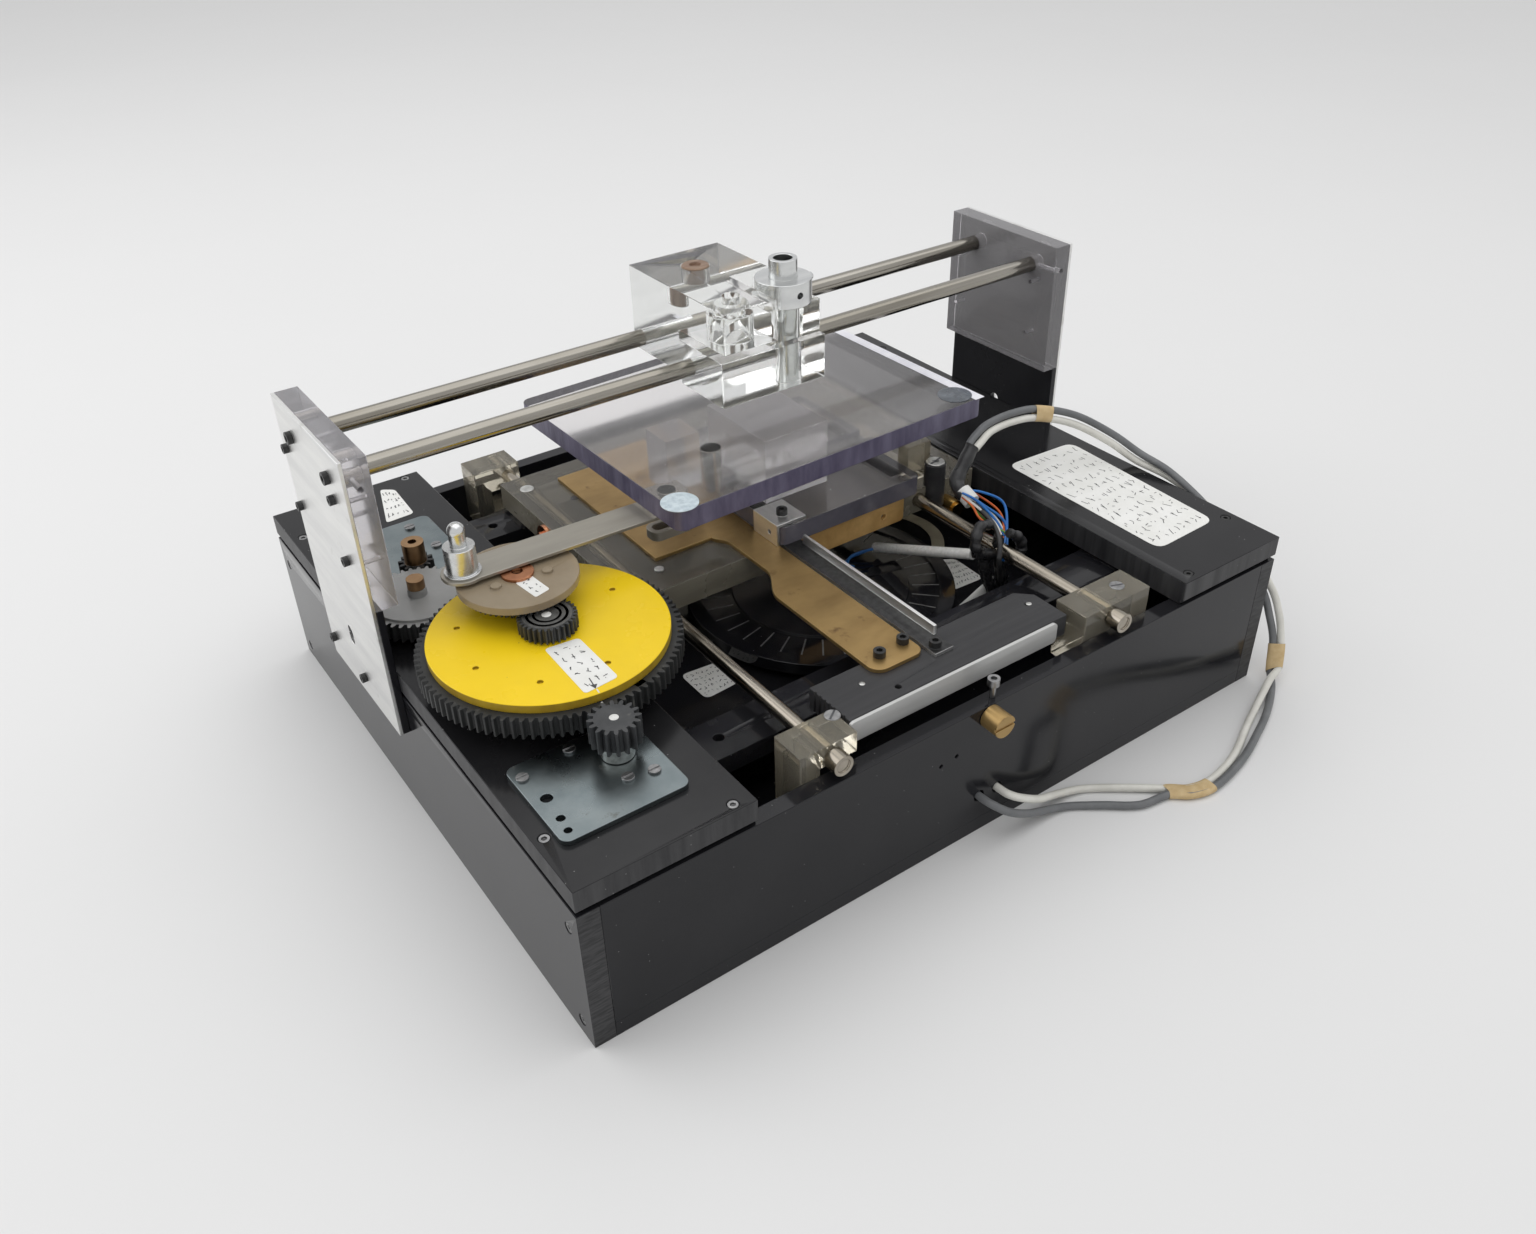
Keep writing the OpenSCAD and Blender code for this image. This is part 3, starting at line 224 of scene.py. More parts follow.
looks = {
    "blackSheet": {
        "colours": ((0.009, 0.009, 0.011), (0.014, 0.014, 0.016)), "grain": 14, "rough": (0.06, 0.17),
        "smear": 9, "specular": 0.3,
        "dust": {"scale": 260, "size": 0.07, "share": 0.22, "colour": (0.16, 0.16, 0.16)}},
    "blackPlate": {
        "colours": ((0.01, 0.01, 0.011), (0.016, 0.016, 0.017)), "grain": 14, "rough": (0.12, 0.26),
        "smear": 12, "specular": 0.3,
        "side": {
            "colours": ((0.02, 0.02, 0.022), (0.05, 0.05, 0.052)), "grain": (160, 160, 12),
            "rough": 0.42},
        "dust": {"scale": 260, "size": 0.08, "share": 0.3, "colour": (0.2, 0.2, 0.2)}},
    "sawnEnd": {
        "colours": ((0.018, 0.018, 0.019), (0.05, 0.05, 0.052)), "grain": (120, 120, 900),
        "rough": (0.45, 0.6), "specular": 0.35},
    "blackMatte": {
        "colours": ((0.026, 0.026, 0.028), (0.04, 0.04, 0.042)), "grain": (6, 160, 160),
        "rough": (0.38, 0.52), "specular": 0.35},
    "blackDisc": {
        "colours": ((0.008, 0.008, 0.01), (0.014, 0.014, 0.016)), "grain": 20, "rough": (0.04, 0.12),
        "dust": {"scale": 200, "size": 0.07, "share": 0.25, "colour": (0.15, 0.15, 0.15)}},
    "smokySheet": {
        "colours": ((0.92, 0.9, 0.9), (0.87, 0.85, 0.86)), "grain": 9, "rough": (0.04, 0.1),
        "clear": 0.95, "ior": 1.4,
        "dust": {"scale": 160, "size": 0.06, "share": 0.25, "colour": (0.85, 0.85, 0.9)}},
    "milkyViolet": {
        "colours": ((0.84, 0.82, 0.85), (0.9, 0.88, 0.91)), "grain": 14, "rough": (0.07, 0.15),
        "clear": 0.8, "ior": 1.34},
    "deckEdge": {
        "colours": ((0.075, 0.07, 0.088), (0.12, 0.115, 0.135)), "grain": 30, "rough": (0.12, 0.25)},
    "frostedGrey": {
        "colours": ((0.46, 0.46, 0.45), (0.54, 0.54, 0.53)), "grain": 30, "rough": (0.25, 0.4),
        "clear": 0.4},
    "creamPrint": {
        "colours": ((0.42, 0.39, 0.3), (0.33, 0.3, 0.23)), "grain": 70, "rough": (0.5, 0.65)},
    "paleMark": {
        "colours": ((0.1, 0.1, 0.098), (0.17, 0.17, 0.165)), "grain": 150, "rough": (0.4, 0.6)},
    "gold": {
        "colours": ((0.68, 0.45, 0.16), (0.52, 0.32, 0.1)), "grain": 90, "rough": (0.16, 0.28),
        "metal": 1.0},
    "violetEdge": {
        "colours": ((0.062, 0.053, 0.098), (0.145, 0.132, 0.2)), "grain": (120, 120, 30),
        "spread": (0.3, 0.7), "rough": (0.35, 0.5),
        "bump": {"grain": (400, 400, 60), "strength": 0.4, "depth": 0.0004}},
    "clearBlock": {
        "colours": ((0.96, 0.97, 0.95), (0.92, 0.93, 0.92)), "grain": 20, "rough": (0.03, 0.08),
        "clear": 0.95, "ior": 1.22},
    "paleBlock": {
        "colours": ((0.8, 0.79, 0.8), (0.74, 0.73, 0.74)), "grain": 20, "rough": (0.1, 0.2),
        "clear": 0.65, "ior": 1.2},
    "warmClear": {
        "colours": ((0.84, 0.79, 0.66), (0.76, 0.7, 0.57)), "grain": 30, "rough": (0.04, 0.12),
        "clear": 0.88, "ior": 1.33},
    "slabClear": {
        "colours": ((0.66, 0.62, 0.53), (0.58, 0.54, 0.45)), "grain": 12, "rough": (0.05, 0.12),
        "clear": 0.88, "ior": 1.34},
    "slabEdge": {
        "colours": ((0.27, 0.25, 0.2), (0.2, 0.185, 0.145)), "grain": (30, 30, 120),
        "rough": (0.2, 0.35), "clear": 0.35},
    "satinStrip": {
        "colours": ((0.41, 0.385, 0.335), (0.35, 0.33, 0.285)), "grain": (14, 90, 90),
        "rough": (0.36, 0.46), "metal": 0.8},
    "blockSilver": {
        "colours": ((0.64, 0.64, 0.63), (0.54, 0.54, 0.53)), "grain": (10, 120, 120),
        "rough": (0.42, 0.55), "metal": 0.6},
    "barBrass": {
        "colours": ((0.76, 0.48, 0.185), (0.56, 0.33, 0.115)), "grain": (60, 10, 60),
        "rough": (0.42, 0.55), "metal": 0.4},
    "plateAluminium": {
        "colours": ((0.75, 0.75, 0.74), (0.85, 0.85, 0.83)), "grain": (300, 12, 90),
        "rough": (0.3, 0.42), "metal": 1.0,
        "stain": {"grain": 30, "spread": (0.62, 0.8), "colour": (0.42, 0.42, 0.38), "rough": 0.5}},
    "brightAluminium": {
        "colours": ((0.74, 0.75, 0.74), (0.64, 0.65, 0.65)), "grain": (8, 200, 200),
        "rough": (0.18, 0.3), "metal": 1.0},
    "rodSteel": {
        "colours": ((0.4, 0.38, 0.34), (0.28, 0.26, 0.22)), "grain": (6, 90, 90), "rough": (0.14, 0.24),
        "metal": 1.0},
    "yRodSteel": {
        "colours": ((0.44, 0.4, 0.34), (0.3, 0.27, 0.22)), "grain": (90, 6, 90), "rough": (0.16, 0.28),
        "metal": 1.0},
    "silverScrew": {
        "colours": ((0.6, 0.6, 0.58), (0.42, 0.42, 0.4)), "grain": 300, "rough": (0.25, 0.38),
        "metal": 1.0},
    "screwSteel": {
        "colours": ((0.38, 0.38, 0.38), (0.24, 0.24, 0.24)), "grain": 300, "rough": (0.28, 0.42),
        "metal": 1.0},
    "blackScrew": {
        "colours": ((0.03, 0.03, 0.03), (0.055, 0.055, 0.055)), "grain": 300, "rough": (0.3, 0.45),
        "metal": 0.6},
    "zincPlate": {
        "colours": ((0.185, 0.22, 0.23), (0.26, 0.295, 0.3)), "grain": 45, "spread": (0.3, 0.7),
        "rough": (0.24, 0.4), "metal": 1.0,
        "stain": {"grain": 90, "spread": (0.64, 0.74), "colour": (0.15, 0.15, 0.135), "rough": 0.5}},
    "gearNylon": {
        "colours": ((0.012, 0.013, 0.013), (0.027, 0.028, 0.028)), "grain": 60, "rough": (0.42, 0.6),
        "stain": {
            "grain": (160, 160, 60), "spread": (0.62, 0.76), "colour": (0.085, 0.085, 0.078),
            "rough": 0.7}},
    "greyNylon": {
        "colours": ((0.024, 0.026, 0.028), (0.048, 0.05, 0.052)), "grain": 90, "rough": (0.35, 0.5),
        "stain": {"grain": 200, "spread": (0.66, 0.76), "colour": (0.13, 0.13, 0.12), "rough": 0.7}},
    "dustyFace": {
        "colours": ((0.06, 0.06, 0.058), (0.11, 0.11, 0.105)), "grain": 300, "rough": (0.4, 0.6)},
    "yellowDisc": {
        "colours": ((0.86, 0.6, 0.012), (0.77, 0.53, 0.01)), "grain": 12, "rough": (0.22, 0.34),
        "specular": 0.28,
        "side": {"colours": ((0.4, 0.27, 0.02), (0.28, 0.18, 0.015)), "grain": 90, "rough": 0.35},
        "dust": {"scale": 220, "size": 0.08, "share": 0.15, "colour": (0.25, 0.18, 0.05)}},
    "brownDisc": {
        "colours": ((0.45, 0.37, 0.26), (0.38, 0.3, 0.2)), "grain": 30, "rough": (0.1, 0.2),
        "clear": 0.35, "ior": 1.34},
    "bronze": {
        "colours": ((0.4, 0.25, 0.13), (0.26, 0.15, 0.075)), "grain": 70, "rough": (0.26, 0.42),
        "metal": 1.0},
    "copper": {
        "colours": ((0.6, 0.28, 0.15), (0.44, 0.19, 0.1)), "grain": 90, "rough": (0.22, 0.36),
        "metal": 1.0},
    "armBrass": {
        "colours": ((0.42, 0.28, 0.112), (0.26, 0.165, 0.062)), "grain": (14, 26, 26),
        "rough": (0.32, 0.46), "metal": 0.8,
        "stain": {"grain": 70, "spread": (0.62, 0.76), "colour": (0.17, 0.1, 0.045), "rough": 0.5}},
    "whiteSheath": {
        "colours": ((0.72, 0.71, 0.66), (0.62, 0.61, 0.56)), "grain": 60, "rough": (0.35, 0.5)},
    "greySheath": {
        "colours": ((0.16, 0.165, 0.17), (0.12, 0.125, 0.13)), "grain": 60, "rough": (0.35, 0.5)},
    "maskingTape": {
        "colours": ((0.58, 0.44, 0.24), (0.5, 0.36, 0.18)), "grain": 200, "rough": (0.6, 0.75),
        "bump": {"grain": 500, "strength": 0.5, "depth": 0.0003}},
    "blackTape": {
        "colours": ((0.012, 0.012, 0.013), (0.022, 0.022, 0.023)), "grain": 90, "rough": (0.22, 0.36),
        "bump": {"grain": (220, 220, 300), "strength": 0.6, "depth": 0.0006}},
    "paper": {
        "colours": ((0.8, 0.8, 0.78), (0.74, 0.74, 0.71)), "grain": 60, "rough": (0.45, 0.6)},
    # dark look for real pen ink, also used as painted shade in the screw slots and the slab's hole
    "inkAndShade": {
        "colours": ((0.03, 0.03, 0.035), (0.07, 0.07, 0.075)), "grain": 200, "rough": (0.4, 0.5)},
    "bluePad": {
        "colours": ((0.42, 0.5, 0.55), (0.6, 0.68, 0.72)), "grain": 260, "rough": (0.4, 0.6)},
    "faintPad": {
        "colours": ((0.17, 0.19, 0.22), (0.28, 0.31, 0.35)), "grain": 200, "rough": (0.2, 0.35),
        "clear": 0.5},
    "frostedFilm": {
        "colours": ((0.8, 0.8, 0.84), (0.7, 0.7, 0.76)), "grain": 90, "rough": (0.5, 0.65)},
    "whitePaint": {
        "colours": ((0.78, 0.78, 0.76), (0.62, 0.62, 0.6)), "grain": 400, "rough": (0.4, 0.6)},
    "brownPlug": {
        "colours": ((0.2, 0.12, 0.08), (0.34, 0.24, 0.17)), "grain": (60, 400, 60),
        "rough": (0.35, 0.5), "metal": 0.5},
}
for name, *colours in (
    ("blueWire", (0.01, 0.12, 0.42), (0.015, 0.16, 0.5)),
    ("whiteWire", (0.7, 0.7, 0.68), (0.6, 0.6, 0.58)),
    ("orangeWire", (0.62, 0.13, 0.02), (0.52, 0.09, 0.015)),
    ("greenWire", (0.08, 0.24, 0.03), (0.11, 0.3, 0.04)),
):
    looks[name] = {"colours": colours, "grain": 90, "rough": (0.25, 0.4)}
materials = {name: makeMaterial(name, look) for name, look in looks.items()}
print(len(materials), "materials made")


# Floor, world and lamps
studio = {
    "floor": (0.725, 0.725, 0.725),
    "floorShade": 0.99,
    "backdrop": (0.72, 0.72, 0.73, 1),
    "worldLight": 0.80,
    "floorSize": 14.0,
    "lamps": [
        {"name": "topLamp", "place": (0.2, 0.1, 1.9), "aim": (0, 0, 0.1), "size": 2.4, "power": 14},
        {"name": "leftLamp", "place": (-1.5, 1.3, 1.3), "aim": (0, 0, 0.1), "size": 1.8, "power": 11},
    ],
}


def addStudio():
    size = studio["floorSize"]
    corners = np.array([(-1, -1, 0), (1, -1, 0), (1, 1, 0), (-1, 1, 0)], float) * (size, size, 1)
    mesh = bpy.data.meshes.new("floor")
    mesh.from_pydata(corners.tolist(), [], [(0, 1, 2, 3)])
    floor = bpy.data.objects.new("floor", mesh)
    bpy.context.scene.collection.objects.link(floor)
    colour = studio["floor"]
    shade = tuple(c * studio["floorShade"] for c in colour)
    look = {"colours": (colour, shade), "grain": 2, "rough": (0.75, 0.85)}
    mesh.materials.append(makeMaterial("floorPaper", look))
    world = bpy.data.worlds.new("studio")
    bpy.context.scene.world = world
    world.use_nodes = True
    tree = world.node_tree
    tree.nodes.clear()
    # the backdrop is what the camera sees, also in mirrors and through clear sheet
    rays = addNode(tree, "LightPath").outputs
    seen = rays["Is Camera Ray"]
    for other in ("Is Glossy Ray", "Is Transmission Ray"):
        seen = addNode(tree, "Math", {0: seen, 1: rays[other]}, operation="MAXIMUM").outputs[0]
    light = addNode(tree, "Background", {"Color": (1, 1, 1, 1), "Strength": studio["worldLight"]})
    back = addNode(tree, "Background", {"Color": studio["backdrop"], "Strength": 1.0})
    mix = addNode(tree, "MixShader", {0: seen, 1: light.outputs[0], 2: back.outputs[0]})
    addNode(tree, "OutputWorld", {"Surface": mix.outputs[0]})
    for lamp in studio["lamps"]:
        data = bpy.data.lights.new(lamp["name"], "AREA")
        data.size = lamp["size"]
        data.energy = lamp["power"]
        data.shape = "SQUARE"
        item = bpy.data.objects.new(lamp["name"], data)
        item.location = lamp["place"]
        beam = Vector(lamp["aim"]) - Vector(lamp["place"])
        item.rotation_euler = beam.to_track_quat("-Z", "Y").to_euler()
        bpy.context.scene.collection.objects.link(item)


addStudio()
print("studio ready")


# Mesh helpers
def addPiece(name, points, faces, body, look, smooth):
    # points in metres; smooth is the angle under which edges are shaded round, 0 for none
    mesh = bpy.data.meshes.new(name)
    places = np.asarray(points, float).reshape(-1, 3).tolist()
    mesh.from_pydata(places, [], [tuple(int(i) for i in f) for f in faces])
    mesh.validate()
    mesh.materials.append(materials[look])
    if smooth:
        mesh.polygons.foreach_set("use_smooth", np.ones(len(mesh.polygons), bool))
        mesh.set_sharp_from_angle(angle=math.radians(smooth))
    piece = bpy.data.objects.new(name, mesh)
    bpy.context.scene.collection.objects.link(piece)
    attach(piece, body)
    return piece


def gridFaces(rows, columns, closed):
    # quads between neighbouring rows and columns; closed joins the last column to the first
    last = columns if closed else columns - 1
    i, j = np.meshgrid(np.arange(rows - 1), np.arange(last), indexing="ij")
    a = i * columns + j
    b = i * columns + (j + 1) % columns
    return np.stack([a, b, b + columns, a + columns], -1).reshape(-1, 4)


def addRings(name, rings, body, look, smooth):
    # each ring of points is joined to the next, and the first and the last are filled
    rows, sides = rings.shape[:2]
    last = (rows - 1) * sides
    caps = [tuple(range(sides))[::-1], tuple(range(last, last + sides))]
    faces = list(gridFaces(rows, sides, True)) + caps
    return addPiece(name, rings * mm, faces, body, look, smooth)


def lathe(name, profile, place, body, look, turns=48, smooth=35):
    # every profile point (radius, height) carried round an upright axis through place
    profile = np.array(profile, float)
    angle = np.linspace(0, 2 * math.pi, turns, endpoint=False)
    r, h = profile[:, 0:1], profile[:, 1:2]
    rings = np.stack([r * np.cos(angle), r * np.sin(angle), h + 0 * angle], -1) + np.array(place)
    addRings(name, rings, body, look, smooth)


def slab(name, outline, low, high, body, look):
    # a flat outline raised from low to high
    outline = np.array(outline, float)
    rings = np.stack([np.column_stack([outline, np.full(len(outline), z)]) for z in (low, high)])
    addRings(name, rings, body, look, 0)


def roundedQuad(corners, radius, steps=6):
    # each corner is replaced by a quadratic curve between points set back along its two sides
    corners = np.array(corners, float)
    before = np.roll(corners, 1, 0) - corners
    after = np.roll(corners, -1, 0) - corners
    start = corners + radius * before / np.linalg.norm(before, axis=1, keepdims=True)
    end = corners + radius * after / np.linalg.norm(after, axis=1, keepdims=True)
    t = np.linspace(0, 1, steps)[None, :, None]
    bends = start[:, None] * (1 - t) ** 2 + 2 * corners[:, None] * t * (1 - t) + end[:, None] * t ** 2
    return bends.reshape(-1, 2)


def smoothPath(points, steps):
    # cubic curve through the chosen points, the end points repeated:
    # b + ((c - a) t + (2a - 5b + 4c - d) t^2 + (3b - a - 3c + d) t^3) / 2 from b to c
    points = np.array(points, float)
    padded = np.vstack([points[:1], points, points[-1:]])
    t = np.arange(steps)[None, :, None] / steps
    a, b, c, d = (padded[k:len(padded) - 3 + k, None] for k in range(4))
    bend = 2 * a - 5 * b + 4 * c - d
    turn = 3 * b - a - 3 * c + d
    curve = 0.5 * (2 * b + (c - a) * t + bend * t ** 2 + turn * t ** 3)
    return np.vstack([curve.reshape(-1, points.shape[1]), points[-1:]])


seedDirection = (0.3, 0.2, 1.0)  # no path starts along it


def sweptTube(path, radius, sides):
    # rings of a circle carried along the path, each turned as little as possible from the last
    path = np.array(path, float)
    ahead = np.gradient(path, axis=0)
    ahead /= np.linalg.norm(ahead, axis=1, keepdims=True)
    normal = np.zeros_like(path)
    start = np.cross(ahead[0], seedDirection)
    for k in range(len(path)):
        start = start - ahead[k] * (start @ ahead[k])
        start /= np.linalg.norm(start)
        normal[k] = start
    other = np.cross(ahead, normal)
    angle = np.linspace(0, 2 * math.pi, sides, endpoint=False)[None, :, None]
    radius = np.broadcast_to(np.asarray(radius, float), (len(path),))[:, None, None]
    return path[:, None] + radius * (normal[:, None] * np.cos(angle) + other[:, None] * np.sin(angle))


def addTube(name, path, radius, sides, body, look, smooth=60):
    return addRings(name, sweptTube(path, radius, sides), body, look, smooth)


def pathLength(path):
    return float(np.linalg.norm(np.diff(path, axis=0), axis=1).sum())


# Cables and the taped bundle: the same route points as the solids
cables = {
    "white": {
        "node": "white_cable", "look": "whiteSheath", "slot": "white_sheath",
        "route": [
            (17, -190, 26), (17, -206, 26), (19.5, -212.5, 25), (27, -215.5, 21), (40, -215, 13),
            (56, -213.5, 6.5), (75, -216.5, 2.6), (94, -229.5, 2.6), (115, -246, 2.6), (125, -253.5, 2.6),
            (140.5, -256.5, 2.6), (169, -251, 2.6), (199.5, -237.5, 2.6), (220.5, -229, 4.5),
            (242, -221, 8.8), (255, -217.5, 11.5), (264, -209.5, 24), (265.5, -203, 41), (263, -194, 59),
            (260, -171.5, 79.5), (257, -142, 95.5), (253, -111, 105.5), (246, -87.5, 110.5),
            (232, -73.5, 123.5), (210.5, -59.5, 137.5), (185, -51.5, 146.5), (166, -48.5, 148.5),
            (146.5, -49, 148), (133, -53.5, 146), (126.5, -55.5, 144)],
    },
    "grey": {
        "node": "grey_cable", "look": "greySheath", "slot": "grey_sheath",
        "route": [
            (3, -190, 27), (3, -206, 27), (5.5, -213, 25.5), (13, -217.5, 20), (26, -219, 12.5),
            (42, -219, 6), (57, -221.5, 2.6), (74, -233, 2.6), (92, -246, 2.6), (112, -250, 2.6),
            (123, -258.5, 2.6), (140.5, -261.5, 2.6), (171, -256, 2.6), (202.5, -244.5, 2.6),
            (223.5, -235, 2.6), (244, -222.5, 2.6), (253, -212.5, 10.5), (260, -206.5, 24),
            (260.5, -200, 39), (258, -192, 57), (254, -172.5, 80.5), (252, -144, 98.5), (251, -113, 110.5),
            (248, -88.5, 115.5), (236, -72.5, 127.5), (213.5, -58.5, 142.5), (187, -49.5, 151.5),
            (166, -46.5, 153.5), (145.5, -46, 152), (131, -49.5, 149), (124.5, -51.5, 146)],
    },
    "radius": 2.4,
    "steps": 8,
    "sides": 16,
    # the tape keeps bundleRadius up to the route point numbered bundleEnd, then falls to bundleThin
    "bundleRadius": 5.0,
    "bundleThin": 1.8,
    "bundleEnd": 2.95,
    "bundleFall": 2.5,
    "bundleRipples": ((0.10, 74), (0.06, 31)),  # depth as a share of the radius, turns of the sine
    "bundleRoute": [
        (125.3, -53.6, 145), (116, -57, 137.5), (107, -61, 129.5), (104.5, -72, 124.5), (107, -86, 119),
        (106, -98, 114), (101.5, -107.5, 109), (97.5, -112, 100), (101, -110, 90), (108, -105, 78),
        (113, -102.5, 65), (116, -100.5, 54), (117, -100, 44.2)],
    # each wrap of tape runs between two places on the white cable and takes in both cables
    "wraps": [
        {"from": (113, -244.5, 2.6), "to": (137, -256, 2.6), "wide": 5.3, "flat": 2.55},
        {"from": (253, -218, 10), "to": (262.5, -211, 22), "wide": 5.3, "flat": 2.9},
        {"from": (193, -54, 143.5), "to": (181, -51, 147), "wide": 5.4, "flat": 2.9},
    ],
    "wrapSides": 28,
    "wrapPower": 0.7,
}


def addCables():
    paths = {}
    for key in ("white", "grey"):
        cable = cables[key]
        path = smoothPath(cable["route"], cables["steps"])
        paths[key] = path
        piece = addTube(
            key + "Cable", path, cables["radius"], cables["sides"], "box", cable["look"])
        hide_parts(cable["node"])
        print(key, "cable", round(pathLength(path)), "mm")
    for index, wrap in enumerate(cables["wraps"]):
        white = paths["white"]
        first, last = (int(np.linalg.norm(white - wrap[k], axis=1).argmin()) for k in ("from", "to"))
        white = white[min(first, last):max(first, last) + 1]
        apart = np.linalg.norm(paths["grey"][None] - white[:, None], axis=2)
        grey = paths["grey"][apart.argmin(1)]
        middle = (white + grey) / 2
        across = (white - grey) / np.linalg.norm(white - grey, axis=1, keepdims=True)
        upward = np.cross(across, np.gradient(middle, axis=0))
        upward /= np.linalg.norm(upward, axis=1, keepdims=True)
        sides, power = cables["wrapSides"], cables["wrapPower"]
        angle = np.linspace(0, 2 * math.pi, sides, endpoint=False)[None, :, None]
        # superellipse: both cosine and sine are raised to a low power and keep their sign
        wide, flat = (np.sign(wave) * np.abs(wave) ** power for wave in (np.cos(angle), np.sin(angle)))
        rings = middle[:, None] + wrap["wide"] * across[:, None] * wide
        rings = rings + wrap["flat"] * upward[:, None] * flat
        faces = gridFaces(len(rings), sides, True)
        addPiece("tapeWrap%d" % index, rings * mm, faces, "box", "maskingTape", 50)
    path = smoothPath(cables["bundleRoute"], steps=12)
    along = np.linspace(0, 1, len(path))
    ripple = 1.0
    for depth, turns in cables["bundleRipples"]:
        ripple = ripple - depth * (0.5 + 0.5 * np.sin(along * turns))
    passed = along * (len(cables["bundleRoute"]) - 1) - cables["bundleEnd"]
    fall = np.clip(passed * cables["bundleFall"], 0, 1)
    radius = cables["bundleRadius"] + (cables["bundleThin"] - cables["bundleRadius"]) * fall
    piece = addTube("wireBundle", path, radius * ripple, 20, "box", "blackTape")
    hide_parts("wire_bundle")


addCables()


# Loose wires below the taped bundle, the loops of tape that they end in, a sleeve and a folded tag
looseWires = {
    "blue": {
        "look": "blueWire", "radius": 0.9,
        "routes": [
            [(99.5, -74, 130), (104.5, -81, 126.5), (109.5, -87.5, 119.5), (113, -94, 112),
             (111.5, -101, 107.5)],
            [(109, -66, 125), (120, -71, 122), (133, -77, 113), (127, -88, 104), (112, -101, 98),
             (104, -108, 96)],
            [(109, -66, 124), (116, -74, 117), (126, -86, 106), (119, -97, 98), (108, -106, 93)],
            [(84, -10, 64), (76, -8, 62.5), (68, -5, 60), (61, -8, 59), (64, -14, 59)],
            [(84, -12, 64.5), (74, -9, 64), (66, -7, 62), (59, -12, 59)],
        ],
    },
    "white": {
        "look": "whiteWire", "radius": 0.9,
        "routes": [
            [(99.5, -74, 128.5), (103.5, -81, 123.5), (108, -87.5, 118), (110.5, -94, 113),
             (109, -101, 109)],
            [(108, -66, 126), (114, -72, 119), (123, -82, 107), (121, -93, 99), (110, -103, 95)],
        ],
    },
    "orange": {
        "look": "orangeWire", "radius": 0.75,
        "routes": [
            [(99.5, -74, 127), (102, -81, 123), (102, -87.5, 118), (105.5, -94, 113.5),
             (108, -101, 110.5)],
            [(108, -65, 126), (119, -70, 119), (128, -81, 108), (118, -95, 99), (108, -104, 96)],
            [(109, -68, 124), (112, -80, 112), (117, -92, 101), (110, -103, 94)],
        ],
    },
    "green": {
        "look": "greenWire", "radius": 0.75,
        "routes": [
            [(100.5, -74, 126.5), (104, -81, 120), (107.5, -87.5, 114.5), (111, -94, 111),
             (113, -101, 109)],
            [(108, -68, 125), (113, -77, 113), (119, -89, 102), (113, -100, 96)],
        ],
    },
    "tape": {
        "look": "blackTape", "radius": 3.6,
        "routes": [
            [(107, -100, 109), (109.5, -100, 99), (113, -100, 84), (115.5, -100.5, 70), (116.5, -101, 57)],
            [(106, -101, 108), (107.5, -101, 97), (110, -101.5, 84), (112, -102, 70), (113.5, -102, 58)],
            [(104, -96, 116), (94, -97, 118), (88.5, -100, 109), (94.5, -100, 99.5), (108, -100, 95.5)],
            [(112, -104, 111), (121.5, -104, 104), (125, -104, 95), (119, -104, 90.5), (109, -103, 91)],
            [(96, -100, 96), (99, -101, 83), (105, -102, 66)],
            [(89.5, -98, 101.5), (97, -100, 99.5), (109, -101, 95.5)],
        ],
    },
}
wireShape = {
    "steps": 8, "sides": 10,
    "taper": 0.25,  # how much thinner a wire's ends are
    "lump": 0.12, "lumpTurns": 40,  # the swell along a loop of tape, and the turns of its sine
}
straightTubes = {
    "paleSleeve": {
        "from": (85, -10, 64), "to": (96, -91, 95), "radius": 3.4, "steps": 6, "look": "whitePaint"},
    "bundleEndWrap": {
        "from": (105.5, -68, 126.5), "to": (105.8, -77, 122.5), "radius": 5.3, "steps": 4,
        "look": "whiteWire"},
}
tagPaper = {
    "rows": [[(67.5, -104, 70), (81.5, -102, 72), (95, -100, 76)],
             [(76, -105, 67), (90.5, -103, 69), (102.5, -101, 79)],
             [(88.5, -104, 60), (100.5, -102, 64), (109, -100, 81.5)]],
    "look": "paper",
    "thick": 0.35,
    "levels": 2,
}


def addLooseWires():
    steps, sides = wireShape["steps"], wireShape["sides"]
    for key, wire in looseWires.items():
        for index, route in enumerate(wire["routes"]):
            path = smoothPath(route, steps)
            along = np.linspace(0, 1, len(path))
            radius = wire["radius"] * (1 - wireShape["taper"] * np.abs(2 * along - 1) ** 3)
            if key == "tape":
                swell = np.sin(along * wireShape["lumpTurns"] + index)
                radius = radius * (1 - wireShape["lump"] * swell)
            addTube("%sWire%d" % (key, index), path, radius, sides, "box", wire["look"])
    for name, tube in straightTubes.items():
        path = smoothPath([tube["from"], tube["to"]], tube["steps"])
        addTube(name, path, tube["radius"], 20, "box", tube["look"])


def addFoldedTag():
    # two layers of the same grid of points, rounded by a subdivision surface
    sheet = np.array(tagPaper["rows"], float)
    layers = [layer.reshape(-1, 3) for layer in (sheet + (0, 0, tagPaper["thick"]), sheet)]
    count = sheet.shape[0] * sheet.shape[1]
    faces = [tuple(f) for f in gridFaces(sheet.shape[0], sheet.shape[1], False)]
    under = [tuple(i + count for i in f[::-1]) for f in faces]
    piece = addPiece(
        "foldedTag", np.concatenate(layers) * mm, faces + under, "box", tagPaper["look"], smooth=60)
    soften = piece.modifiers.new("curl", "SUBSURF")
    soften.levels = soften.render_levels = tagPaper["levels"]


addLooseWires()
addFoldedTag()
print("loose wires laid")


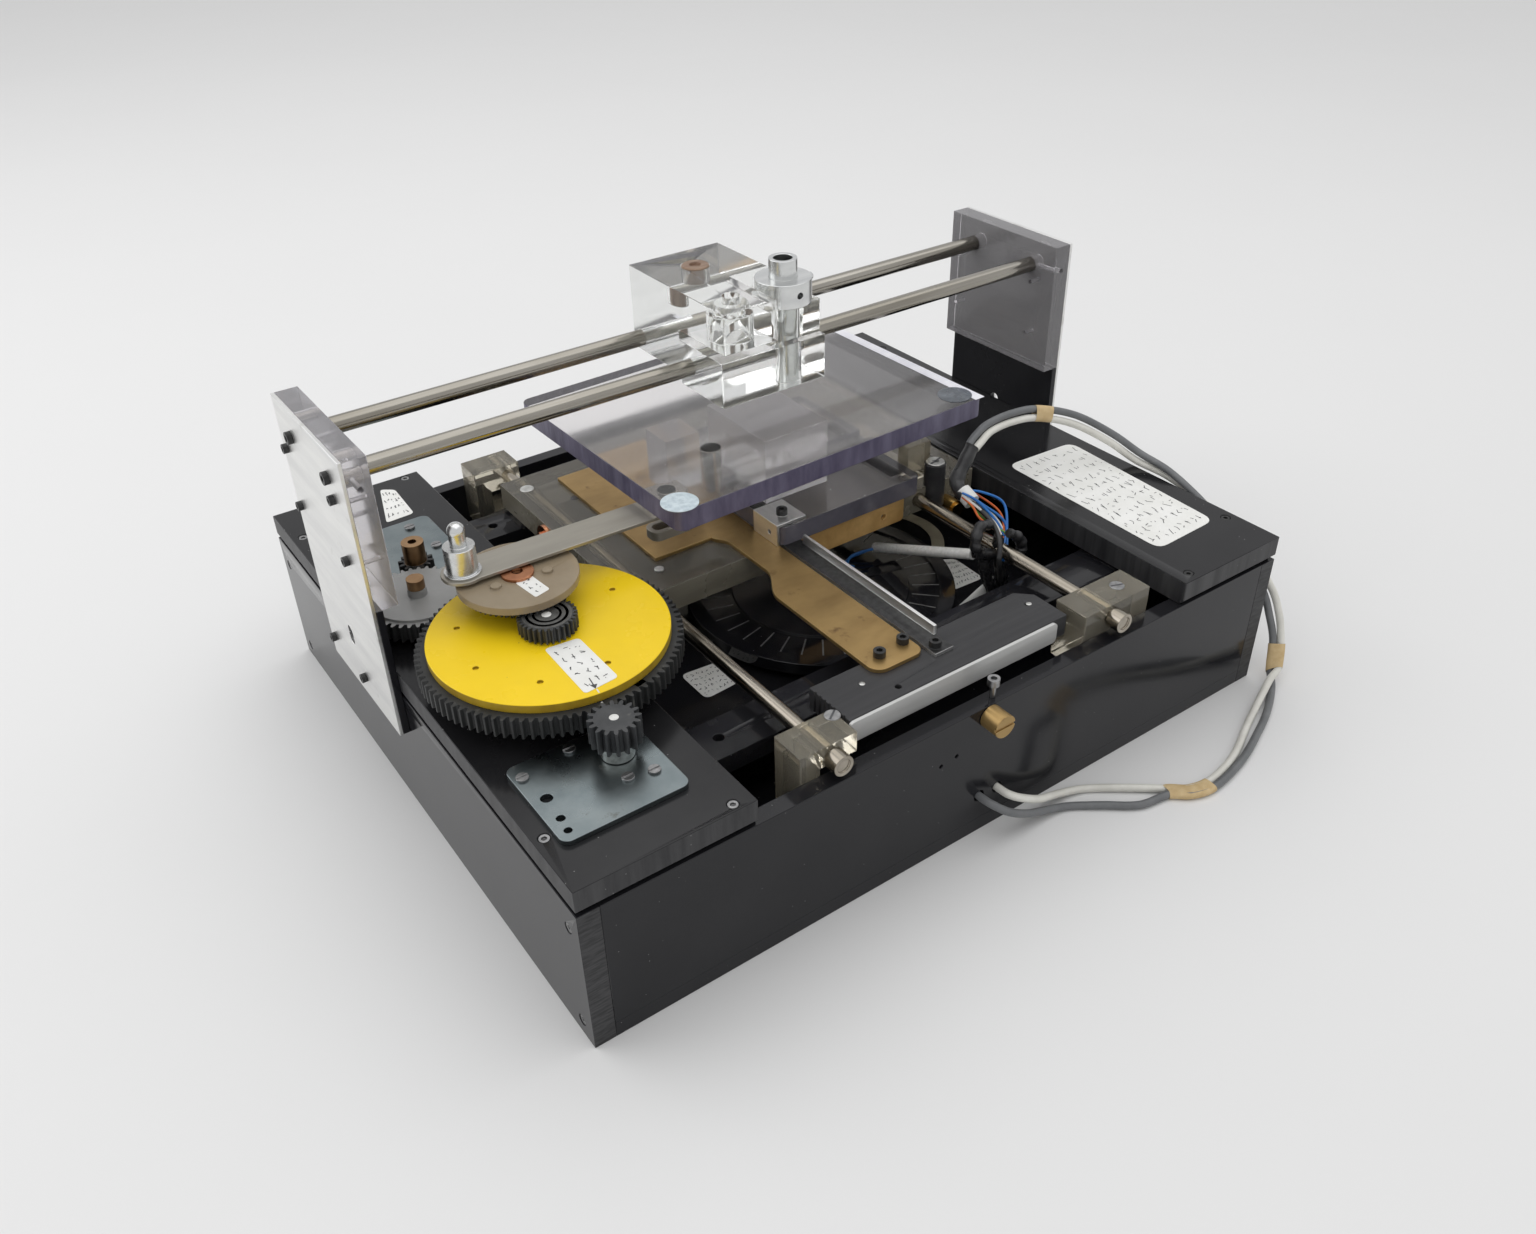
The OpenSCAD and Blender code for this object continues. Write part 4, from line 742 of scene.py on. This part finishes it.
# Paper labels with rows of plain pen strokes; cells are rows and columns, and turn starts them at
# the second corner
labels = {
    "rightPlateLabel": {
        "corners": [(178, -36), (235, -39), (229, -166), (176, -168)], "z": 107, "body": "box",
        "cells": (9, 11), "turn": True, "seed": 3, "round": 8},
    "leftPlateLabel": {
        "corners": [(-176, 193), (-168, 187), (-170, 150), (-189, 149)], "z": 107, "body": "box",
        "cells": (5, 4), "turn": True, "seed": 5, "round": 3},
    "yellowDiscLabel": {
        "corners": [(-187, -72), (-168, -74), (-168, -115), (-188, -117)], "z": 136,
        "body": "main_wheel", "cells": (3, 5), "turn": True, "seed": 7, "round": 2.5},
    "planetDiscLabel": {
        "corners": [(-181, -32), (-171, -29.4), (-169, -48), (-178.5, -50.5)], "z": 153.1,
        "body": "planet_wheel", "cells": (2, 3), "turn": True, "seed": 8, "round": 1.5},
    "shelfLabelLeft": {
        "corners": [(-83, -28), (-51, -31), (-57, -55), (-83, -57)], "z": 44, "body": "box",
        "cells": (5, 9), "turn": False, "seed": 11, "round": 5},
    "shelfLabelRight": {
        "corners": [(131, -25), (140, -31), (139, -60), (113, -59)], "z": 44, "body": "box",
        "cells": (5, 9), "turn": False, "seed": 12, "round": 4},
}
labelShape = {"low": 0.02, "thick": 0.25, "inkLift": 0.06}
strokeShape = {
    "wide": 0.5,
    "reach": (0.34, 0.30),  # how far a stroke's ends lie from its cell's middle, in cells
    "margin": 0.6,  # cells left free along and across
    "middle": 0.8,  # the first cell's middle
}


def penStrokes(label):
    # each cell of the rows holds two strokes; their ends are spread about the cell's middle
    rng = np.random.default_rng(label["seed"])
    rows, columns = label["cells"]
    i, j, _ = np.meshgrid(np.arange(rows), np.arange(columns), np.arange(2), indexing="ij")
    size = np.array([columns + strokeShape["margin"], rows + strokeShape["margin"]])
    middle = np.stack([j + strokeShape["middle"], i + strokeShape["middle"]], -1).reshape(-1, 2) / size
    reach = np.array(strokeShape["reach"]) / size
    ends = [middle + reach * rng.uniform(-1, 1, middle.shape) for _ in range(2)]
    a, b, c, d = (np.array(corner, float) for corner in label["corners"])
    if label["turn"]:
        a, b, c, d = b, c, d, a
    places = []
    for end in ends:
        # along and across run from 0 to 1 over the label and mix its corners
        along, across = end[:, :1], end[:, 1:]
        near, far = (1 - along) * a + along * b, (1 - along) * d + along * c
        places.append((1 - across) * near + across * far)
    ahead = places[1] - places[0]
    ahead /= np.linalg.norm(ahead, axis=1, keepdims=True) + 1e-6
    side = np.column_stack([-ahead[:, 1], ahead[:, 0]]) * strokeShape["wide"] / 2
    quads = np.stack([places[0] - side, places[1] - side, places[1] + side, places[0] + side], 1)
    return quads.reshape(-1, 2)


def addLabel(name, label):
    low, top = label["z"] + labelShape["low"], label["z"] + labelShape["thick"]
    outline = roundedQuad(label["corners"], label["round"])
    slab(name, outline, low, top, label["body"], "paper")
    flat = penStrokes(label)
    points = np.column_stack([flat, np.full(len(flat), top + labelShape["inkLift"])]) * mm
    faces = np.arange(len(flat)).reshape(-1, 4)
    addPiece(
        name + "Strokes", points, faces, label["body"], "inkAndShade", smooth=0)


for name, label in labels.items():
    addLabel(name, label)


# An arrow on the yellow disc's label and two pale strokes that carry it on to the gear's teeth
setMarks = {
    "arrowShaft": {
        "corners": [(-180.7, -107.3), (-180.1, -107.4), (-181.0, -113.5), (-181.6, -113.4)],
        "z": 136.25, "look": "inkAndShade", "slot": "black_matte"},
    "arrowHead": {
        "corners": [(-183.0, -112.6), (-179.4, -113.8), (-181.9, -116.6)],
        "z": 136.25, "look": "inkAndShade", "slot": "black_matte"},
    "rimStroke": {
        "corners": [(-181.9, -117.0), (-181.2, -117.0), (-181.6, -120.3), (-182.3, -120.2)],
        "z": 136.02, "look": "whitePaint", "slot": "white_sheath"},
    "gearStroke": {
        "corners": [(-182.3, -121.6), (-181.5, -121.6), (-182.0, -125.0), (-182.8, -125.0)],
        "z": 131.02, "look": "whitePaint", "slot": "white_sheath"},
}
markThick = 0.08
for name, mark in setMarks.items():
    slab(name, mark["corners"], mark["z"], mark["z"] + markThick, "main_wheel", mark["look"])
print("labels placed")


# Small fittings: every entry is turned on an upright axis, (radius, height) from its place
blockRivet = {
    "body": "carriage", "look": "silverScrew", "slot": "screw_steel",
    "profile": [(1.7, -0.3), (1.7, 0.15), (1.2, 0.4), (0.4, 0.4)]}
bracketScrew = {
    "body": "box", "look": "screwSteel", "slot": "screw_steel",
    "profile": [(4.4, -0.3), (4.4, 0.2), (4.0, 0.5), (0.8, 0.5)]}
tablePad = {
    "body": "table", "slot": "zinc_plate",
    "profile": [(10.8, 0), (10.8, 0.35), (9.8, 0.5), (1.0, 0.5)]}
pinionAxis = (-183.98, -137.65)
turned = {
    "penPlug": {
        "place": (-6, 54, 0), "body": "pen_carriage", "look": "brownPlug", "slot": "bronze",
        "profile": [(8.3, 242.4), (8.3, 262.2), (7.7, 262.8), (3.6, 262.8), (3.0, 261.4), (0.5, 261.4)]},
    "sunFace": {
        "place": (-176.5, -57, 145.5), "body": "box", "look": "dustyFace", "slot": "grey_nylon",
        "profile": [(13.2, 0), (13.2, 0.05), (11.6, 0.05), (11.4, 0), (9.8, 0), (9.6, 0.05),
                    (8.0, 0.05), (7.8, 0), (6.4, 0), (6.2, 0.05), (4.6, 0.05)]},
    "sunDot": {
        "place": (-177, -57.5, 145.65), "body": "box", "look": "whitePaint", "slot": "white_sheath",
        "profile": [(2.6, 0), (2.2, 0.25), (0.6, 0.4)]},
    "frontDot": {
        "place": (*pinionAxis, 133), "body": "front_wheel", "look": "whitePaint", "slot": "white_sheath",
        "profile": [(2.4, 0), (2.0, 0.25), (0.5, 0.4)]},
    "frontHub": {
        "place": (*pinionAxis, 0), "body": "front_wheel", "look": "silverScrew", "slot": "screw_steel",
        "profile": [(8.6, 110.6), (8.6, 118.2), (7.9, 118.8), (6.0, 118.8)]},
    "blockRivetLeft": dict(blockRivet, place=(-51.7, -163.9, 107.7)),
    "blockRivetRight": dict(blockRivet, place=(70.6, -163.3, 107.7)),
    "slabPlug": {
        "place": (-97.4, 133, 107.7), "body": "carriage", "look": "silverScrew", "slot": "screw_steel",
        "profile": [(4.6, -0.3), (4.6, 0.2), (4.2, 0.5), (0.8, 0.5)]},
    # a thin dark disc of painted shade that stands in for a hole in the slab
    "slabHole": {
        "place": (-78, 103, 107.7), "body": "carriage", "look": "inkAndShade", "slot": "black_matte",
        "profile": [(2.6, -0.3), (2.6, 0.1), (0.6, 0.1)]},
    "slabScrew": {
        "place": (-79, -5, 107.7), "body": "carriage", "look": "silverScrew", "slot": "screw_steel",
        "profile": [(3.0, -0.3), (3.0, 0.8), (2.5, 1.2), (0.5, 1.2)]},
    "motorCap": {
        "place": (121.5, -25, 123), "body": "carriage", "look": "silverScrew", "slot": "screw_steel",
        "profile": [(6.2, -0.2), (6.2, 0.8), (5.6, 1.3), (2.4, 1.3), (2.0, 0.6), (0.5, 0.6)]},
    "leftBracketScrew": dict(bracketScrew, place=(-80.4, -175.4, 108)),
    "rightBracketScrew": dict(bracketScrew, place=(124, -181, 108)),
    "leftPad": dict(tablePad, place=(-83, -41, 172), look="bluePad"),
    "rightPad": dict(tablePad, place=(128, -32, 172), look="faintPad"),
}
for name, item in turned.items():
    lathe(name, item["profile"], item["place"], item["body"], item["look"])


# Screw slots as painted shade: flat dark bars that stand in for the shaded grooves, each turned by some
# degrees about its middle
slotShadeBars = {
    "leftBracketSlot": {
        "middle": (-80.4, -175.4), "z": 108.5, "half": (3.9, 0.55), "turn": 35, "body": "box"},
    "rightBracketSlot": {
        "middle": (124, -181), "z": 108.5, "half": (3.9, 0.55), "turn": -20, "body": "box"},
    "motorSlot": {
        "middle": (121.5, -25), "z": 124.3, "half": (5.4, 0.7), "turn": 15, "body": "carriage"},
}
slotShadeShape = {"below": 0.2, "above": 0.08}
for name, item in slotShadeBars.items():
    turn = math.radians(item["turn"])
    along = np.array([math.cos(turn), math.sin(turn)]) * item["half"][0]
    across = np.array([-math.sin(turn), math.cos(turn)]) * item["half"][1]
    outline = [-along - across, along - across, along + across, across - along]
    low, high = item["z"] - slotShadeShape["below"], item["z"] + slotShadeShape["above"]
    slab(name, outline + np.array(item["middle"]), low, high, item["body"], "inkAndShade")


# Cylinders that lie level: a gold knob under the slab and a stack of washers on its left face
lying = {
    "goldKnob": {"from": (131, -25.2, 90), "to": (131, -37, 90), "radius": 6.2, "look": "gold"},
    "goldKnobFace": {"from": (131, -36.5, 90), "to": (131, -39, 90), "radius": 4.8, "look": "gold"},
    "slabWasher": {"from": (-109, 84, 98), "to": (-111.4, 84, 98), "radius": 9.0, "look": "copper"},
    "slabNut": {"from": (-111, 84, 98), "to": (-114, 84, 98), "radius": 5.0, "look": "copper"},
    "slabBall": {"from": (-113.5, 84, 98), "to": (-121, 84, 98), "radius": 3.8, "look": "gold"},
}
for name, item in lying.items():
    path = smoothPath([item["from"], item["to"]], steps=3)
    addTube(name, path, item["radius"], 28, "carriage", item["look"])


# Marks on the inner disc: short bars between two radii, the first of them at an angle in degrees
discMarks = {
    "middle": (34, -16), "z": 56.55, "inner": 60, "outer": 78, "count": 36, "half": 0.5, "first": 4}
spokes = np.radians(np.arange(discMarks["count"]) * 360 / discMarks["count"] + discMarks["first"])
outward = np.stack([np.cos(spokes), np.sin(spokes)], -1)
across = np.stack([-np.sin(spokes), np.cos(spokes)], -1) * discMarks["half"]
inner, outer = outward * discMarks["inner"], outward * discMarks["outer"]
bars = np.stack([inner - across, outer - across, outer + across, inner + across], 1).reshape(-1, 2)
bars = np.column_stack([bars + discMarks["middle"], np.full(len(bars), discMarks["z"])])
faces = np.arange(len(bars)).reshape(-1, 4)
addPiece("discMarks", bars * mm, faces, "inner_wheel", "paleMark", smooth=0)


# A pale printed arc on the shelf and a strip of frosted film on the table
scaleArc = {
    "outer": [(150, 46), (156, 33), (158.5, 16), (154, -2), (142, -18)], "steps": 6, "width": 9,
    "low": 44.02, "high": 44.4}
outerEdge = smoothPath(scaleArc["outer"], scaleArc["steps"])
ahead = np.gradient(outerEdge, axis=0)
ahead /= np.linalg.norm(ahead, axis=1, keepdims=True)
innerEdge = outerEdge + np.column_stack([ahead[:, 1], -ahead[:, 0]]) * scaleArc["width"]
outline = np.vstack([outerEdge, innerEdge[::-1]])
slab("scaleArc", outline, scaleArc["low"], scaleArc["high"], "box", "creamPrint")
frostedStrip = {
    "outline": [(133.5, -45.5), (141, -45.3), (136.6, 133), (129.5, 133)], "low": 172.02, "high": 172.2}
slab(
    "frostedStrip", frostedStrip["outline"], frostedStrip["low"], frostedStrip["high"], "table",
    "frostedFilm")
print("small fittings placed")


# CAD pieces: each is shown by a copy with round faces smooth and edges broken to a width (mm)
finishes = {
    "blackSheet": (["base_plate", "left_side_panel", "right_side_panel", "front_panel", "back_panel",
                    "drive_shelf", "inner_rails", "gantry_spacers"], 0.35),
    "blackPlate": (["left_top_plate", "right_top_plate"], 0.45),
    "blackMatte": (["front_block", "deck_motor", "y_motors"], 0.4),
    "blackDisc": (["x_main_disc"], 0.4),
    "smokySheet": (["drawing_table", "deck_plate"], 0.3),
    "milkyViolet": (["left_rod_block", "right_rod_block"], 0.3),
    "clearBlock": (["pen_block"], 0.4),
    "paleBlock": (["slide_blocks"], 0.4),
    "warmClear": (["front_left_bracket", "front_right_bracket", "rear_brackets", "right_block"], 0.6),
    "slabClear": (["carriage_slab"], 0.5),
    "plateAluminium": (["gantry_plates", "strut", "deck_bracket"], 0.25),
    "brightAluminium": (["crank_post", "pen_collar", "pen_tube"], 0.3),
    "satinStrip": (["connecting_strip"], 0.3),
    "blockSilver": (["block_strip"], 0.2),
    "barBrass": (["brass_bar"], 0.2),
    "rodSteel": (["gantry_rods", "table_fittings", "planet_axle", "x_spindle"], 0.3),
    "yRodSteel": (["y_rods"], 0.3),
    "screwSteel": (["box_screws"], 0.15),
    "blackScrew": (["gantry_screws"], 0.2),
    "zincPlate": (["front_motor_plate", "rear_motor_plate"], 0.25),
    "gearNylon": (["main_gear", "idler_gear"], 0.12),
    "greyNylon": (["sun_gear", "front_pinion", "planet_gear"], 0.1),
    "yellowDisc": (["main_disc"], 0.4),
    "brownDisc": (["planet_disc"], 0.3),
    "bronze": (["gear_axles", "rear_pinion"], 0.12),
    "copper": (["planet_hub"], 0.2),
    "armBrass": (["brass_arm", "front_knob"], 0.2),
}


# A second look for some faces of a piece, chosen by their middle (mm) and the way they face
def onSides(place, way):
    return np.abs(way[:, 2]) < 0.5


def onFront(place, way):
    return way[:, 1] < -0.9


def onStrut(place, way):
    # the upper face of the strut's flat side, and the screws left of its upright side
    flatSide = (way[:, 2] > 0.9) & (place[:, 2] < 112)
    screws = (place[:, 2] > 110.3) & (place[:, 0] < 2.2)
    return flatSide | screws


def onRightScrews(place, way):
    # the screws in the right top plate
    return (place[:, 0] > 150) & (place[:, 2] > 100)


accents = {
    "drawing_table": ("violetEdge", onSides),
    "deck_plate": ("deckEdge", onSides),
    "left_side_panel": ("sawnEnd", onFront),
    "right_side_panel": ("sawnEnd", onFront),
    "carriage_slab": ("slabEdge", onSides),
    "strut": ("blackScrew", onStrut),
    "deck_bracket": ("blackScrew", lambda place, way: place[:, 2] > 125.1),  # its screw
    "box_screws": ("blackScrew", onRightScrews),
    "rear_pinion": ("gearNylon", lambda place, way: place[:, 2] < 122.02),  # its teeth
    "idler_gear": ("frostedGrey", lambda place, way: place[:, 2] > 121.9),  # its disc and hub
}

# Touching faces seen through clear sheet: the lower piece's top is set back by this much (mm)
setBack = {"slide_blocks": 0.15, "carriage_slab": 0.05}
softening = {
    "merge": 0.002,  # mm under which two points are one
    "top": 0.01,  # mm from a piece's highest point within which a point is on its top
    "flat": 0.4,  # degrees between two faces under which they are one face
    "sharp": 32,  # degrees between two faces from which their edge is shaded sharp
    "bevel": 40,  # degrees between two faces from which their edge is broken
}


def softCopy(name, width, look):
    source = nodes[name]
    mesh = source.data.copy()
    mesh.name = name + "Finished"
    mesh.materials.clear()
    mesh.materials.append(materials[look])
    shape = bmesh.new()
    shape.from_mesh(mesh)
    bmesh.ops.remove_doubles(shape, verts=shape.verts, dist=softening["merge"] * mm)
    flat = math.radians(softening["flat"])
    bmesh.ops.dissolve_limit(shape, angle_limit=flat, verts=shape.verts, edges=shape.edges)
    shape.to_mesh(mesh)
    shape.free()
    if name in setBack:
        spots = np.zeros(len(mesh.vertices) * 3)
        mesh.vertices.foreach_get("co", spots)
        heights = spots[2::3]
        heights[heights > heights.max() - softening["top"] * mm] -= setBack[name] * mm
        mesh.vertices.foreach_set("co", spots)
    mesh.polygons.foreach_set("use_smooth", np.ones(len(mesh.polygons), bool))
    mesh.set_sharp_from_angle(angle=math.radians(softening["sharp"]))
    if name in accents:
        accent, chosen = accents[name]
        mesh.materials.append(materials[accent])
        place, way = (np.zeros(len(mesh.polygons) * 3) for _ in range(2))
        mesh.polygons.foreach_get("center", place)
        mesh.polygons.foreach_get("normal", way)
        mask = chosen(place.reshape(-1, 3) / mm, way.reshape(-1, 3))
        mesh.polygons.foreach_set("material_index", mask.astype(int))
    piece = bpy.data.objects.new(name + "Finished", mesh)
    bpy.context.scene.collection.objects.link(piece)
    bevel = piece.modifiers.new("brokenEdges", "BEVEL")
    bevel.width = width * mm
    bevel.segments = 2
    bevel.limit_method = "ANGLE"
    bevel.angle_limit = math.radians(softening["bevel"])
    bevel.use_clamp_overlap = False
    bevel.harden_normals = False
    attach(piece, source["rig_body"])
    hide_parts(name)


for look, (names, width) in finishes.items():
    for name in names:
        softCopy(name, width, look)
print("CAD pieces finished")
